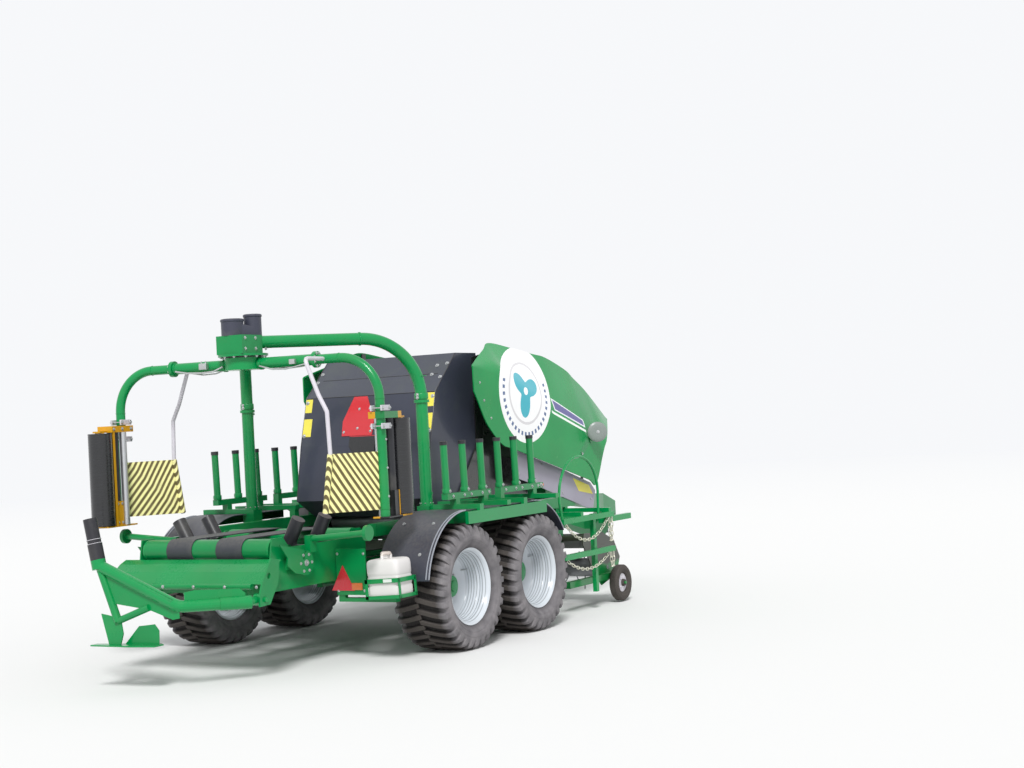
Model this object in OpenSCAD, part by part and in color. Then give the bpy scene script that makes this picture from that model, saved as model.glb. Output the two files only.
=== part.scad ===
// Trailed round baler with a satellite bale wrapper behind it, on one tandem chassis.
// Millimetres. The origin is on the ground under the middle of the machine,
// +X points forward to the hitch, +Y to the left and +Z up.

/* [Wheels] */
// Outer diameter of a road tyre, out to the lug tips
tyre_d = 1020; // [960:5:1040]
// Width of a road tyre
tyre_w = 500; // [440:5:510]
// Diameter over the rim's flanges
rim_d = 625; // [580:5:640]
// Depth of the tread's lugs
lug_h = 30; // [20:1:40]
// Lugs in each half of a tread
lug_count = 32; // [24:1:36]
// Distance from the middle of the machine to a tyre's middle
tyre_y = 1225; // [1222:1:1260]
// Distance from the origin back to the middle of the tandem
tandem_back = 880; // [860:5:900]
// Distance between the two axles
axle_gap = 1140; // [1100:5:1180]
// Diameter of a wheel's spindle
spindle_d = 80; // [60:2:100]
// Gap between a tyre and its mudguard
guard_gap = 100; // [60:5:110]

/* [Chassis] */
// Height of the top of the lower rails
rail_top = 750; // [735:1:756]
// Depth of the lower rails
rail_h = 130; // [100:5:150]
// Width of a rail
rail_w = 100; // [80:5:120]
// Distance from the middle to a lower rail's middle
rail_y = 430; // [400:5:460]
// Distance from the middle to a side beam's middle
side_y = 800; // [790:1:810]
// Height of the top of the side beams
side_top = 1060; // [1040:2:1070]
// Depth of the side beams
side_h = 100; // [80:5:110]
// Distance from the origin forward to the end of the hitch eye
hitch_reach = 3845; // [3800:10:4000]
// Height of the hitch eye's middle
hitch_z = 535; // [480:5:600]
// Bore of the hitch eye
hitch_bore = 50; // [40:1:60]

/* [Bale chamber] */
// Distance from the origin forward to the chamber's middle
chamber_x = 50; // [45:1:60]
// Height of the chamber's middle
chamber_z = 1600; // [1595:1:1610]
// Diameter of a bale
bale_d = 1250; // [1220:5:1254]
// Diameter of a chamber roller
press_roller_d = 200; // [180:2:202]
// Half the chamber's width, to the outside of the tailgate's sides
gate_half = 697; // [690:1:698]
// Thickness of the chamber's sides
wall_t = 12; // [8:1:12]

/* [Wrapper] */
// Distance from the origin back to the rotor's axis
rotor_back = 2427; // [2420:1:2450]
// Height of the middle of the arms' upper tubes
arm_z = 2395; // [2385:1:2396]
// Distance from the rotor's axis to an arm's upright tube
arm_r = 1205; // [1180:1:1210]
// Direction of the right arm, counted from straight ahead
arm_turn = -83; // [-90:1:-76]
// Diameter of an arm's tube
arm_d = 76; // [70:1:80]
// Diameter of a roll of film
film_d = 190; // [160:2:200]
// Length of a roll of film
film_l = 750; // [745:1:752]
// Height of the underside of a roll of film
film_z = 1150; // [1148:1:1160]

/* [Wrapping table] */
// Distance from the origin back to the rear table roller
table_back = 2940; // [2900:5:2960]
// Distance between the table's two rollers
table_gap = 1026; // [980:2:1040]
// Height of the table rollers' axes
table_z = 950; // [940:1:965]
// Diameter of a table roller
table_roller_d = 170; // [150:2:174]
// Half the length of a table roller
table_half = 620; // [600:2:624]

/* [Guards] */
// Length of a chain's link
chain_pitch = 46; // [40:1:60]
// Thickness of a link's wire
chain_wire = 10; // [8:1:12]

/* [Hidden] */
$fn = 48;
// Radial play of a shaft that turns in a bore
play = 0.08;
// Gap between pieces that lie on each other
seat = 0.3;

// Wheels
tyre_r = tyre_d / 2;
axle_x = [-tandem_back + axle_gap / 2, -tandem_back - axle_gap / 2];
tyre_in = tyre_y - tyre_w / 2;
fender_r = tyre_r + guard_gap;
fender_in = 930;
fender_out = 1420;
fender_top = tyre_r + fender_r;
bogie_y = 830;
bogie_w = 90;

// Chassis
rail_back = -3120;
rail_front = 900;
side_back = -1900;
side_front = 1560;
side_w = 80;
arch_x = -1252;
arch_y = 920;
arch_d = 102;
arch_foot = 1160;

draw_tip = hitch_reach - 190;
draw_w = 100;
draw_rear = [side_front, side_y + side_w / 2];
draw_mid = [2740, 560];
draw_front = [3100, 520];
pick_pivot = [1250, 660];
feed_x = 1250;
feed_z = 560;
intake_out = 700;

// Chamber
press_r = bale_d / 2 + press_roller_d / 2;
roller_step = 20;
gate_in = gate_half - wall_t;
fixed_in = gate_half + 3;
fixed_out = fixed_in + wall_t;
roller_half = gate_in - 7;
shaft_d = 50;
hinge = [100, 2360];
hinge_pin_d = 50;
gate_edge = chamber_x - 5;
gate_outline = [[gate_edge, 2459], [-308, 2459], [-495, 2281], [-670, 2120], [-790, 1690],
    [-890, 1200], [-620, 1040], [-400, 1060], [-290, 1200], [gate_edge, 1650]];
gate_inside = [[hinge.x + 200, 2449], [-304, 2449], [-488, 2274], [-661, 2115], [-780, 1688],
    [-879, 1206], [-618, 1052], [-400, 1000], [200, 1400]];
wall_outline = [[-40, 2420], [60, 2440], [300, 2470], [560, 2390], [800, 2150], [930, 1800],
    [930, 1130], [980, side_top], [980, rail_top + seat], [-560, rail_top + seat], [-560, 940],
    [-420, 1180], [-40, 1620]];

cover_hinge = [722, 2550];

// Rotor
sleeve_d = 89;
hub_top = arm_z + 52;
head_foot = hub_top + 11;
head_top = 2625;
head_rise = 175;
rotor_x = -rotor_back;
arch_top = 2570;
arch_way = unit([arch_x - rotor_x, arch_y]);
head_reach = 150;
film_in = 299;
tube_foot = 1136;
core_d = 76;

function between(a, b, x) = a.y + (b.y - a.y) * (x - a.x) / (b.x - a.x);
function unit(v) = v / norm(v);
function polar(r, a) = [r * cos(a), r * sin(a)];
function turn_angle(a, b, c) = acos(max(-1, min(1, unit(b - a) * unit(c - b))));
function trim(pts, i, bend) = (i <= 0 || i >= len(pts) - 1) ? 0
    : bend * tan(turn_angle(pts[i - 1], pts[i], pts[i + 1]) / 2);

// Puts its child's own X along u, its Z along w and its origin at o.
module placed(o, u, w) {
    v = cross(w, u);
    multmatrix([[u.x, v.x, w.x, o.x], [u.y, v.y, w.y, o.y], [u.z, v.z, w.z, o.z], [0, 0, 0, 1]])
        children();
}

module rod(a, b, d) {
    w = unit(b - a);
    helper = abs(w.z) > 0.9 ? [1, 0, 0] : [0, 0, 1];
    placed(a, unit(cross(helper, w)), w) cylinder(h = norm(b - a), d = d);
}

// A round tube along straight runs with bends of one radius between them.
module bent_tube(pts, d, bend) {
    for (i = [0 : len(pts) - 2]) {
        way = unit(pts[i + 1] - pts[i]);
        rod(pts[i] + way * trim(pts, i, bend), pts[i + 1] - way * trim(pts, i + 1, bend), d);
    }
    for (i = [1 : 1 : len(pts) - 2]) {
        before = unit(pts[i] - pts[i - 1]);
        after = unit(pts[i + 1] - pts[i]);
        w = unit(cross(before, after));
        u = cross(before, w);
        start = pts[i] - before * trim(pts, i, bend);
        placed(start - u * bend, u, w)
            rotate_extrude(angle = turn_angle(pts[i - 1], pts[i], pts[i + 1]))
            translate([bend, 0]) circle(d = d);
    }
}

// The points of a line with its corners rounded to one radius.
function rounded(pts, bend, steps) = [for (i = [0 : len(pts) - 1]) each
    (i == 0 || i == len(pts) - 1) ? [pts[i]] :
    let (before = unit(pts[i] - pts[i - 1]), after = unit(pts[i + 1] - pts[i]),
        turn = turn_angle(pts[i - 1], pts[i], pts[i + 1]), w = unit(cross(before, after)),
        u = cross(before, w), hub = pts[i] - before * trim(pts, i, bend) - u * bend)
    [for (k = [0 : steps]) hub + bend * (u * cos(turn * k / steps) + before * sin(turn * k / steps))]];

// A vector square to each stretch of a line, turned as little as can be from one to the next.
function carried(way, i) = i == 0
    ? unit(cross(way[0], abs(way[0].z) > 0.9 ? [1, 0, 0] : [0, 0, 1]))
    : let (last = carried(way, i - 1)) unit(last - way[i] * (last * way[i]));

// A round bar swept along a line of points.
module swept(line, d, sides = 10) {
    n = len(line);
    way = [for (i = [0 : n - 1]) unit(line[min(i + 1, n - 1)] - line[max(i - 1, 0)])];
    points = [for (i = [0 : n - 1]) let (u = carried(way, i), v = cross(way[i], u))
        for (k = [0 : sides - 1]) line[i] + d / 2 * (u * cos(360 * k / sides) + v * sin(360 * k / sides))];
    tube_mesh(points, sides);
}

// The values of a table's rows between row i and the next, along a smooth curve.
function smooth_row(rows, i, t) = let (n = len(rows) - 1, a = rows[max(i - 1, 0)], b = rows[i],
    c = rows[i + 1], d = rows[min(i + 2, n)])
    0.5 * (2 * b + (c - a) * t + (2 * a - 5 * b + 4 * c - d) * t * t + (3 * b - a - 3 * c + d) * t * t * t);

// A closed mesh from rings of one number of points each.
module tube_mesh(points, sides) {
    last = len(points) / sides - 1;
    polyhedron(points, concat([[for (k = [0 : sides - 1]) k]],
        [[for (k = [sides - 1 : -1 : 0]) last * sides + k]],
        [for (i = [0 : last - 1]) for (k = [0 : sides - 1])
            each [[i * sides + k, (i + 1) * sides + (k + 1) % sides, i * sides + (k + 1) % sides],
                [i * sides + k, (i + 1) * sides + k, (i + 1) * sides + (k + 1) % sides]]]));
}

// A box from its low corner to its high corner.
module block(low, high) {
    translate(low) cube(high - low);
}

// A plate drawn in X and Z, from one Y to another.
module plate_xz(low, high) {
    translate([0, high, 0]) rotate([90, 0, 0]) linear_extrude(height = high - low) children();
}

module both_sides() {
    children();
    mirror([0, 1, 0]) children();
}

// A cylinder along Y.
module across(x, z, low, high, d) {
    translate([x, low, z]) rotate([-90, 0, 0]) cylinder(h = high - low, d = d);
}

// A closed section that is the same on both sides of its middle.
function both_halves(half) = concat(half,
    [for (i = [len(half) - 1 : -1 : 0]) [half[i].x, -half[i].y]]);

module main_frame() {
    rail_foot = rail_top - rail_h;
    color("#14914b") {
        both_sides() {
            block([rail_back, rail_y - rail_w / 2, rail_foot],
                [rail_front, rail_y + rail_w / 2, rail_top]);
            block([side_back, side_y - side_w / 2, side_top - side_h],
                [side_front, side_y + side_w / 2, side_top]);
            // Bogie brackets
            block([-tandem_back - 90, rail_y - 30, 440], [-tandem_back + 90, rail_y + 30, rail_foot]);
            // Outriggers that carry the side beams and the arch
            for (x = [arch_x, 700])
                block([x - 50, rail_y + rail_w / 2, rail_foot + 10],
                    [x + 50, side_y + side_w / 2, rail_top]);
            block([arch_x - 50, side_y - side_w / 2, rail_top],
                [arch_x + 50, side_y + side_w / 2, side_top - side_h]);
            block([650, side_y - side_w / 2, rail_top], [750, side_y + side_w / 2, side_top - side_h]);
            // Arch post
            block([arch_x - 60, side_y + side_w / 2, side_top - side_h],
                [arch_x + 60, arch_y + 60, side_top]);
            block([arch_x - 60, arch_y - 60, side_top], [arch_x + 60, arch_y + 60, arch_foot]);
        }
        for (x = [rail_back + 60, -2300, -1700, -500, 300, rail_front - 50])
            block([x - 40, -rail_y + rail_w / 2, rail_foot + 20],
                [x + 40, rail_y - rail_w / 2, rail_top - 20]);
        across(-tandem_back, 520, -bogie_y + bogie_w / 2, bogie_y - bogie_w / 2, 120);
        // Brackets of the pick-up's pivots
        both_sides() difference() {
            plate_xz(side_y, side_y + 30) polygon([[pick_pivot.x - 70, side_top - side_h],
                [pick_pivot.x - 45, pick_pivot.y - 50], [pick_pivot.x + 45, pick_pivot.y - 50],
                [pick_pivot.x + 70, side_top - side_h]]);
            across(pick_pivot.x, pick_pivot.y, side_y - 1, side_y + 31, 60 + 2 * play);
        }
        block([side_front - 80, -side_y + side_w / 2, side_top - side_h],
            [side_front, side_y - side_w / 2, side_top]);
    }
}

module drawbar() {
    color("#14914b") intersection() {
        translate([0, 0, 300]) linear_extrude(height = 1000) difference() {
            polygon([[draw_rear.x, -draw_rear.y], [draw_mid.x, -draw_mid.y],
                [draw_front.x, -draw_front.y], [draw_tip, -80], [draw_tip, 80], draw_front, draw_mid,
                draw_rear]);
            polygon([[draw_rear.x - 1, draw_w - draw_rear.y], [draw_mid.x, draw_w - draw_mid.y],
                [draw_front.x - 40, draw_w - draw_front.y], [draw_tip - 220, -40],
                [draw_tip - 220, 40], draw_front - [40, draw_w], draw_mid - [0, draw_w],
                draw_rear - [1, draw_w]]);
        }
        plate_xz(-900, 900) polygon([[side_front, side_top], [2740, 1010], [3090, 910],
            [draw_tip, hitch_z + 70], [draw_tip, hitch_z - 70], [3090, 770], [2740, 850],
            [side_front, side_top - side_h]]);
    }
}

module hitch_eye() {
    eye_r = 75;
    x = hitch_reach - eye_r;
    color("#3a3d40") difference() {
        union() {
            translate([x, 0, hitch_z - 22]) cylinder(h = 44, r = eye_r);
            translate([draw_tip, 0, hitch_z]) rotate([0, 90, 0])
                cylinder(h = x - hitch_bore / 2 - 20 - draw_tip, d = 60);
        }
        translate([x, 0, hitch_z - 50]) cylinder(h = 100, d = hitch_bore);
    }
}

module bogies() {
    color("#14914b") both_sides() {
        plate_xz(bogie_y - bogie_w / 2, bogie_y + bogie_w / 2)
            polygon([[axle_x[1] - 70, 440], [axle_x[1] + 120, 430], [-tandem_back, 450],
                [axle_x[0] - 120, 430], [axle_x[0] + 70, 440], [axle_x[0] + 70, 570],
                [-tandem_back + 120, 600], [-tandem_back - 120, 600], [axle_x[1] - 70, 570]]);
        for (x = axle_x)
            across(x, tyre_r, bogie_y + bogie_w / 2, tyre_y, spindle_d);
    }
}

// A tyre's carcass, and on it two rows of slanted lugs cut from the tread's outer shape.
module tyre(x, side) {
    half = tyre_w / 2;
    tread = tyre_r - lug_h;
    bead = rim_d / 2 - 8;
    pitch = 2 * PI * tread / lug_count;
    lug_w = 0.43 * pitch;
    color("#2b2a2a") translate([x, side * tyre_y, tyre_r]) rotate([-90, 0, 0]) {
        rotate_extrude($fn = 72) polygon(both_halves([[bead, half - 60], [bead + 25, half - 34],
            [bead + 60, half - 8], [bead + 100, half], [tread - 40, half - 12], [tread - 10, half - 40],
            [tread, half - 90]]));
        intersection() {
            rotate_extrude($fn = 72) polygon(both_halves([[tread - 60, half - 4], [tyre_r - 60, half - 4],
                [tyre_r - 26, half - 16], [tyre_r - 5, half - 60], [tyre_r, half - 110]]));
            for (row = [0, 1]) mirror([0, 0, row]) for (i = [0 : lug_count - 1])
                rotate((i + row / 2) * 360 / lug_count) translate([tread - 50, 0, 0])
                rotate([0, 90, 0]) linear_extrude(height = lug_h + 90)
                polygon([[12, -lug_w / 2], [12, lug_w / 2], [-half / 2, 32 + lug_w / 2],
                    [-half - 50, 62 + 0.6 * lug_w], [-half - 50, 62 - 0.6 * lug_w],
                    [-half / 2, 32 - lug_w / 2]]);
        }
    }
}

module rim(x, side) {
    half = tyre_w / 2;
    bead = rim_d / 2 - 8 - seat;
    color("#bec8cd") translate([x, side * tyre_y, tyre_r]) scale([1, side, 1]) rotate([-90, 0, 0])
        difference() {
            rotate_extrude($fn = 72) polygon([[0, -130], [110, -130], [110, -46], [150, -44], [215, -26],
                [235, -34], [bead - 34, -60], [bead - 34, 100 - half], [bead - 12, 55 - half],
                [bead, 58 - half], [bead, 66 - half], [bead - 4, 66 - half], [bead - 20, 120 - half],
                [bead - 20, half - 120], [bead - 4, half - 66], [bead, half - 66], [bead, half - 58],
                [bead - 12, half - 55], [bead - 30, half - 96], [bead - 33, half - 150], [bead - 44, half - 162],
                [bead - 46, 10], [235, -6], [215, -8], [150, -26], [96, -28], [90, 27], [0, 27]]);
            translate([0, 0, -200]) cylinder(h = 205, d = spindle_d + 2 * play);
        }
}

jack = [2900, 600];

module jack_body() {
    color("#14914b") difference() {
        union() {
            translate([jack.x, jack.y + 35, 380]) cylinder(h = 640, d = 84);
            translate([0, 0, 830]) linear_extrude(height = 90) polygon([
                [jack.x - 40, between(draw_mid, draw_front, jack.x - 40)],
                [jack.x + 40, between(draw_mid, draw_front, jack.x + 40)],
                [jack.x + 40, jack.y + 20], [jack.x - 40, jack.y + 20]]);
        }
        translate([jack.x, jack.y + 35, 300]) cylinder(h = 700, d = 66);
    }
}

module jack_leg() {
    color("#a8aeb2") {
        translate([jack.x, jack.y + 35, 18]) cylinder(h = 600, d = 66 - 2 * play);
        block([jack.x - 110, jack.y + 35 - 80, 0], [jack.x + 110, jack.y + 35 + 80, 18.5]);
    }
}

module chamber_walls() {
    color("#1d1f21") {
        both_sides() {
            plate_xz(fixed_in, fixed_out) polygon(wall_outline);
            // Hinge plates of the side covers
            block([280, fixed_out, 2400], [340, cover_hinge.x - seat, 2540]);
            block([560, fixed_out, 2300], [620, cover_hinge.x - seat, 2500]);
            across(hinge.x, hinge.y, gate_in, fixed_in, hinge_pin_d);
            across(hinge.x, hinge.y, fixed_out, fixed_out + 14, 90);
        }
        // Front sheet over the fixed rollers
        plate_xz(-fixed_in, fixed_in) polygon([[560, 2382], [792, 2148], [922, 1798], [922, 1300],
            [930, 1300], [930, 1800], [800, 2150], [566, 2388]]);
    }
}

module press_roller(a) {
    p = [chamber_x, chamber_z] + polar(press_r, a);
    across(p.x, p.y, -roller_half, roller_half, press_roller_d);
}

module press_rollers() {
    color("#55585c") for (a = [240, 260, 280, 300, 340, 0, 20, 40, 60, 80]) {
        p = [chamber_x, chamber_z] + polar(press_r, a);
        press_roller(a);
        across(p.x, p.y, -fixed_in, fixed_in, shaft_d);
    }
}

module tailgate() {
    color("#4b4e5c") difference() {
        union() {
            plate_xz(-gate_half, gate_half) polygon(gate_outline);
            both_sides() plate_xz(gate_in, gate_half) union() {
                translate(hinge) circle(d = 120);
                polygon([[gate_edge - 60, 2459], hinge + [0, 60], hinge - [0, 60], [gate_edge - 60, 2250]]);
            }
        }
        plate_xz(-gate_in, gate_in) polygon(gate_inside);
        across(hinge.x, hinge.y, -gate_half - 1, gate_half + 1, hinge_pin_d + 2 * play);
    }
}

module gate_rollers() {
    color("#55585c") for (a = [100 : roller_step : 220]) {
        p = [chamber_x, chamber_z] + polar(press_r, a);
        press_roller(a);
        across(p.x, p.y, -gate_in, gate_in, shaft_d);
    }
}

// A board on the slope of the tailgate's rear sheet: the truncated triangle, and its plain foot.
module warning_plate() {
    low = gate_outline[4];
    high = gate_outline[3];
    up = unit([high.x - low.x, 0, high.y - low.y]);
    out = [-up.z, 0, up.x];
    color("#d7323c") placed([low.x, 88, low.y] + out * seat, [0, 1, 0], out) {
        linear_extrude(height = 6)
            polygon([[-70, -438], [70, -438], [168, -213], [162, -78], [-162, -78], [-168, -213]]);
        linear_extrude(height = 6)
            polygon([[-205, -74], [75, -74], [75, 20], [0, 96], [-205, 96]]);
    }
}

module gearbox() {
    rear_in = draw_rear - [1, draw_w];
    mid_in = draw_mid - [0, draw_w];
    arm = [for (x = [2340, 2440]) [x, between(rear_in, mid_in, x)]];
    color("#14914b") {
        block([2240, -150, 860], [2560, 150, 1180]);
        translate([0, 0, 920]) linear_extrude(height = 80)
            polygon([arm[0], arm[1], [arm[1].x, -arm[1].y], [arm[0].x, -arm[0].y]]);
        translate([2560, 0, 1010]) rotate([0, 90, 0]) cylinder(h = 60, d = 140);
        translate([2620, 0, 1010]) rotate([0, 90, 0]) cylinder(h = 90, d = 34.9);
    }
}

module feeder_plates() {
    face = side_y + side_w / 2;
    color("#a5a0af") both_sides() plate_xz(face, face + 8) polygon([[398, 1560], [1331, 1325],
        [1900, 1165], [1999, 1080], [1931, 887], [1309, 1059], [786, 1204], [398, 1300]]);
}

module intake_plates() {
    color("#1f211c") both_sides() difference() {
        plate_xz(intake_out - 24, intake_out) polygon([[760, 1060], [1465, 940], [1465, 420],
            [1380, 300], [1150, 260], [960, 380], [760, 560]]);
        across(feed_x, feed_z, intake_out - 30, intake_out + 1, 60 + 2 * play);
    }
}

module feed_rotor() {
    color("#3c3f42") {
        across(feed_x, feed_z, -640, 640, 180);
        across(feed_x, feed_z, -intake_out, intake_out, 60);
        for (i = [-3 : 3]) for (k = [0 : 3])
            translate([feed_x, i * 180, feed_z]) rotate([0, i * 30 + k * 90, 0])
                plate_xz(-10, 10) polygon([[60, -50], [230, -10], [235, 10], [60, 60]]);
    }
}

module net_box() {
    color("#2a2c2e") {
        difference() {
            block([960, -680, 1860], [1460, 680, 2260]);
            block([970, -670, 1870], [1450, 670, 2261]);
        }
        both_sides() block([930, 500, 1760], [1300, 560, 1860]);
    }
}

module net_lid() {
    color("#2a2c2e") block([955, -685, 2260 + seat], [1470, 685, 2275]);
}

module arc_sheet(x, r, t, from, to) {
    translate([x, tyre_r]) intersection() {
        difference() {
            circle(r = r + t, $fn = 72);
            circle(r = r, $fn = 72);
        }
        polygon([[0, 0], polar(2 * r, from), polar(2.3 * r, (from + to) / 2), polar(2 * r, to)]);
    }
}

module mudguards() {
    color("#2e3033") both_sides() difference() {
        plate_xz(fender_in, fender_out) union() {
            arc_sheet(axle_x[1], fender_r, 6, 90, 170);
            translate([axle_x[1], tyre_r + fender_r]) square([axle_gap, 6]);
            arc_sheet(axle_x[0], fender_r, 6, 31, 90);
        }
        block([arch_x - 70, 0, fender_top - 50], [arch_x + 70, arch_y + 70, fender_top + 50]);
    }
}

post_gap = 290;
post_x = [for (i = [0 : 5]) -1380 + i * post_gap];
rack_y = 1200;
rack_top = 1260;

module film_racks() {
    arm_low = fender_top + 6 + seat;
    color("#14914b") both_sides() {
        for (x = [-800, -515, 65]) {
            block([x - 30, side_y - side_w / 2, arm_low], [x + 30, fender_out + 34, arm_low + 40]);
            block([x - 30, side_y - 30, side_top], [x + 30, side_y + 30, arm_low]);
        }
        block([arch_x - 30, arch_y + 60, arm_low], [arch_x + 30, fender_out + 34, arm_low + 40]);
        for (x = [arch_x, -800, -515, 65])
            block([x - 30, rack_y - 30, arm_low + 40], [x + 30, rack_y + 30, rack_top - 50]);
        block([-1410, rack_y - 30, rack_top - 50], [-709, rack_y + 30, rack_top]);
        block([-542, rack_y - 30, rack_top - 50], [218, rack_y + 30, rack_top]);
        // Marker lamp at the front end of the rail
        translate([218, rack_y, rack_top - 25]) rotate([0, 90, 0]) cylinder(h = 22, d = 44);
        for (x = post_x) rod([x, rack_y, rack_top - 1], [x - 12, rack_y, rack_top + 400], 60);
        block([-1470, fender_out + 4, fender_top - 105], [-144, fender_out + 34, fender_top - 5]);
        for (x = [arch_x, -515])
            block([x - 30, fender_out + 4, fender_top - 6], [x + 30, fender_out + 34, arm_low]);
    }
}

module post_caps() {
    color("#1c1c1e") both_sides() for (x = post_x)
        rod([x - 12, rack_y, rack_top + 400 + seat], [x - 13, rack_y, rack_top + 430], 66);
}

guard_y = 1290;

guard_bar = 50;
guard_top = 905;
guard_low = 575;
guard_rear = 430;
guard_front = 1460;
guard_post = 1125;

module side_guards() {
    half = guard_bar / 2;
    arm_top = side_top - side_h;
    // Middle, half width, half height and lean of the hoop
    hub = [790, 1105];
    size = [392, 355];
    lean = 10;
    hoop = [for (a = [190 : -12.5 : -10]) let (p = [size.x * cos(a), size.y * sin(a)])
        [hub.x + p.x * cos(lean) - p.y * sin(lean), guard_y, hub.y + p.x * sin(lean) + p.y * cos(lean)]];
    color("#14914b") both_sides() {
        for (top = [guard_top, guard_low])
            block([guard_rear, guard_y - 20, top - guard_bar], [guard_front, guard_y + 20, top]);
        // Post behind both bars
        block([guard_post - half, guard_y - 62, 170], [guard_post + half, guard_y - 22, guard_top]);
        for (top = [guard_top, guard_low])
            block([guard_post - half, guard_y - 24, top - guard_bar], [guard_post + half, guard_y - 20, top]);
        // Stub of square tube at the front
        block([1380, guard_y - 110, 795], [2000, guard_y - 60, 850]);
        block([1380, guard_y - 60, 805], [1430, guard_y - 20, guard_top]);
        // Arms from the side beam
        for (x = [800, 1380]) {
            block([x - half, side_y - 40, arm_top - 15], [x + half, side_y + 40, arm_top]);
            block([x - half, side_y - 40, arm_top - 55], [x + half, guard_y + 20, arm_top - 15]);
        }
        swept(concat([[440, guard_y, guard_top - 8]], hoop, [[1165, guard_y, guard_top - 8]]), 26);
    }
}

// A chain along a line of points in X and Z: each stretch is one link, turned by a quarter
// from the link before it, and thin where two links meet.
module chain(line, y) {
    n = len(line) - 1;
    sides = 6;
    // Share of a link and share of its full width at each of its three rings
    rings = [[0, 0], [0.22, 1], [0.78, 1]];
    wide = 1.7 * chain_wire;
    points = concat([for (i = [0 : n - 1]) for (r = rings)
        let (way = unit(line[i + 1] - line[i]), place = line[i] + (line[i + 1] - line[i]) * r[0],
            broad = chain_wire / 2 + (wide - chain_wire / 2) * r[1],
            flat = i % 2 == 0 ? [broad, chain_wire / 2] : [chain_wire / 2, broad])
        for (k = [0 : sides - 1]) let (a = cos(60 * k) * flat.x, b = sin(60 * k) * flat.y)
            [place.x - way.y * b, y + a, place.y + way.x * b]],
        [for (k = [0 : sides - 1]) let (way = unit(line[n] - line[n - 1]),
            b = sin(60 * k) * chain_wire / 2)
            [line[n].x - way.y * b, y + cos(60 * k) * chain_wire / 2, line[n].y + way.x * b]]);
    tube_mesh(points, sides);
}

// The points of a chain that hangs between two points of X and Z, one for each link's end.
// Its ends point straight down, so that they seat flat below a bar.
function hanging(a, b, sag) = let (n = 2 * ceil(norm([b.x - a.x, 2.3 * sag]) / chain_pitch / 2))
    concat([a], [for (i = [0 : n]) let (t = i / n, x = a.x + (b.x - a.x) * t)
        [x, a.y - 8 + (b.y - a.y) * t - 4 * sag * t * (1 - t)]], [b]);

module guard_chains() {
    color("#c8c6bd") both_sides() {
        for (top = [[guard_top, 170], [guard_low, 110]]) {
            z = top[0] - guard_bar - seat;
            chain(hanging([guard_rear + 60, z], [guard_front - 110, z], top[1]), guard_y + 4);
            // Spare length
            chain(hanging([guard_front - 80, z], [guard_front - 20, z], 1.4 * top[1]), guard_y + 4);
        }
    }
}

// Buffers on the drawbar, on which the noses of the closed side covers rest.
module nose_discs() {
    x = 1960;
    deck = between([side_front, side_top], [2740, 1010], x);
    color("#a5a0af") both_sides() {
        across(x, 1660, 760, 800, 300);
        rod([x, 700, deck + 3 + seat], [x, 780, 1560], 30);
    }
}

module arch() {
    span = norm([arch_x - rotor_x, arch_y]);
    color("#14914b") both_sides() translate([arch_x, arch_y, 0])
        rotate(180 + atan2(arch_way.y, arch_way.x)) {
            translate([0, 0, arch_foot]) cylinder(h = 20, d = 118);
            translate([0, 0, arch_top - 550]) cylinder(h = 24, d = 130);
            bent_tube([[0, 0, arch_foot], [0, 0, arch_top], [span - head_reach, 0, arch_top]], arch_d, 500);
        }
}

// Keeps what lies behind both of the arch's tubes, so that the head has a flat end for each.
module between_tubes() {
    turn = atan2(arch_way.y, arch_way.x);
    intersection() {
        rotate(turn) children();
        rotate(-turn) children();
    }
}

module rotor_head() {
    color("#14914b") {
        translate([rotor_x, 0, head_foot + 18]) linear_extrude(height = head_top - head_foot - 18)
            intersection() {
                translate([-170, -130]) square([320, 260]);
                between_tubes() translate([-400, -400]) square([400 + head_reach, 800]);
            }
        translate([rotor_x, 0, head_foot]) cylinder(h = 18, d = 400);
        translate([rotor_x, 0, arm_z - 40]) cylinder(h = head_foot - arm_z + 40, d = 60);
    }
}

module slew_ring() {
    color("#1c1c1e") difference() {
        translate([rotor_x, 0, hub_top + seat]) cylinder(h = head_foot - hub_top - seat, d = 290);
        translate([rotor_x, 0, hub_top]) cylinder(h = 50, d = 120);
    }
}

module head_cover() {
    // Place along the machine, diameter and height of each cap
    caps = [[-80, 190, head_rise - 8], [75, 160, head_rise]];
    color("#8d9298") {
        for (c = caps) translate([rotor_x + c[0], 0, head_top]) {
            cylinder(h = c[2], d = c[1] - 8);
            translate([0, 0, c[2] - 16]) cylinder(h = 16, d = c[1]);
        }
        plate_xz(-84, 84) polygon([[rotor_x - 80, head_top], [rotor_x + 148, head_top],
            [rotor_x + 148, head_top + 70], [rotor_x + 60, head_top + 128],
            [rotor_x - 80, head_top + 128]]);
    }
}

// One of the tipper's pivot plates, with its hole, drawn in X and Z.
module pivot_outline() {
    difference() {
        polygon([[-3167, 911], [-3072, 890], [-3095, 726], [-3204, 573], [-3324, 568], [-3324, 640],
            [-3284, 747]]);
        translate([-3209, 785]) circle(d = 47);
    }
}

// The cutter's round-ended plate with its slot, drawn in X and Z.
module cutter_outline() {
    difference() {
        union() {
            polygon([[-2987, 989], [-2897, 884], [-2902, 824], [-2808, 760], [-2690, 735], [-2620, 845],
                [-2692, 930]]);
            translate([-2668, 826]) circle(d = 190);
        }
        translate([-2690, 850]) rotate(62) square([70, 22]);
    }
}

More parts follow.
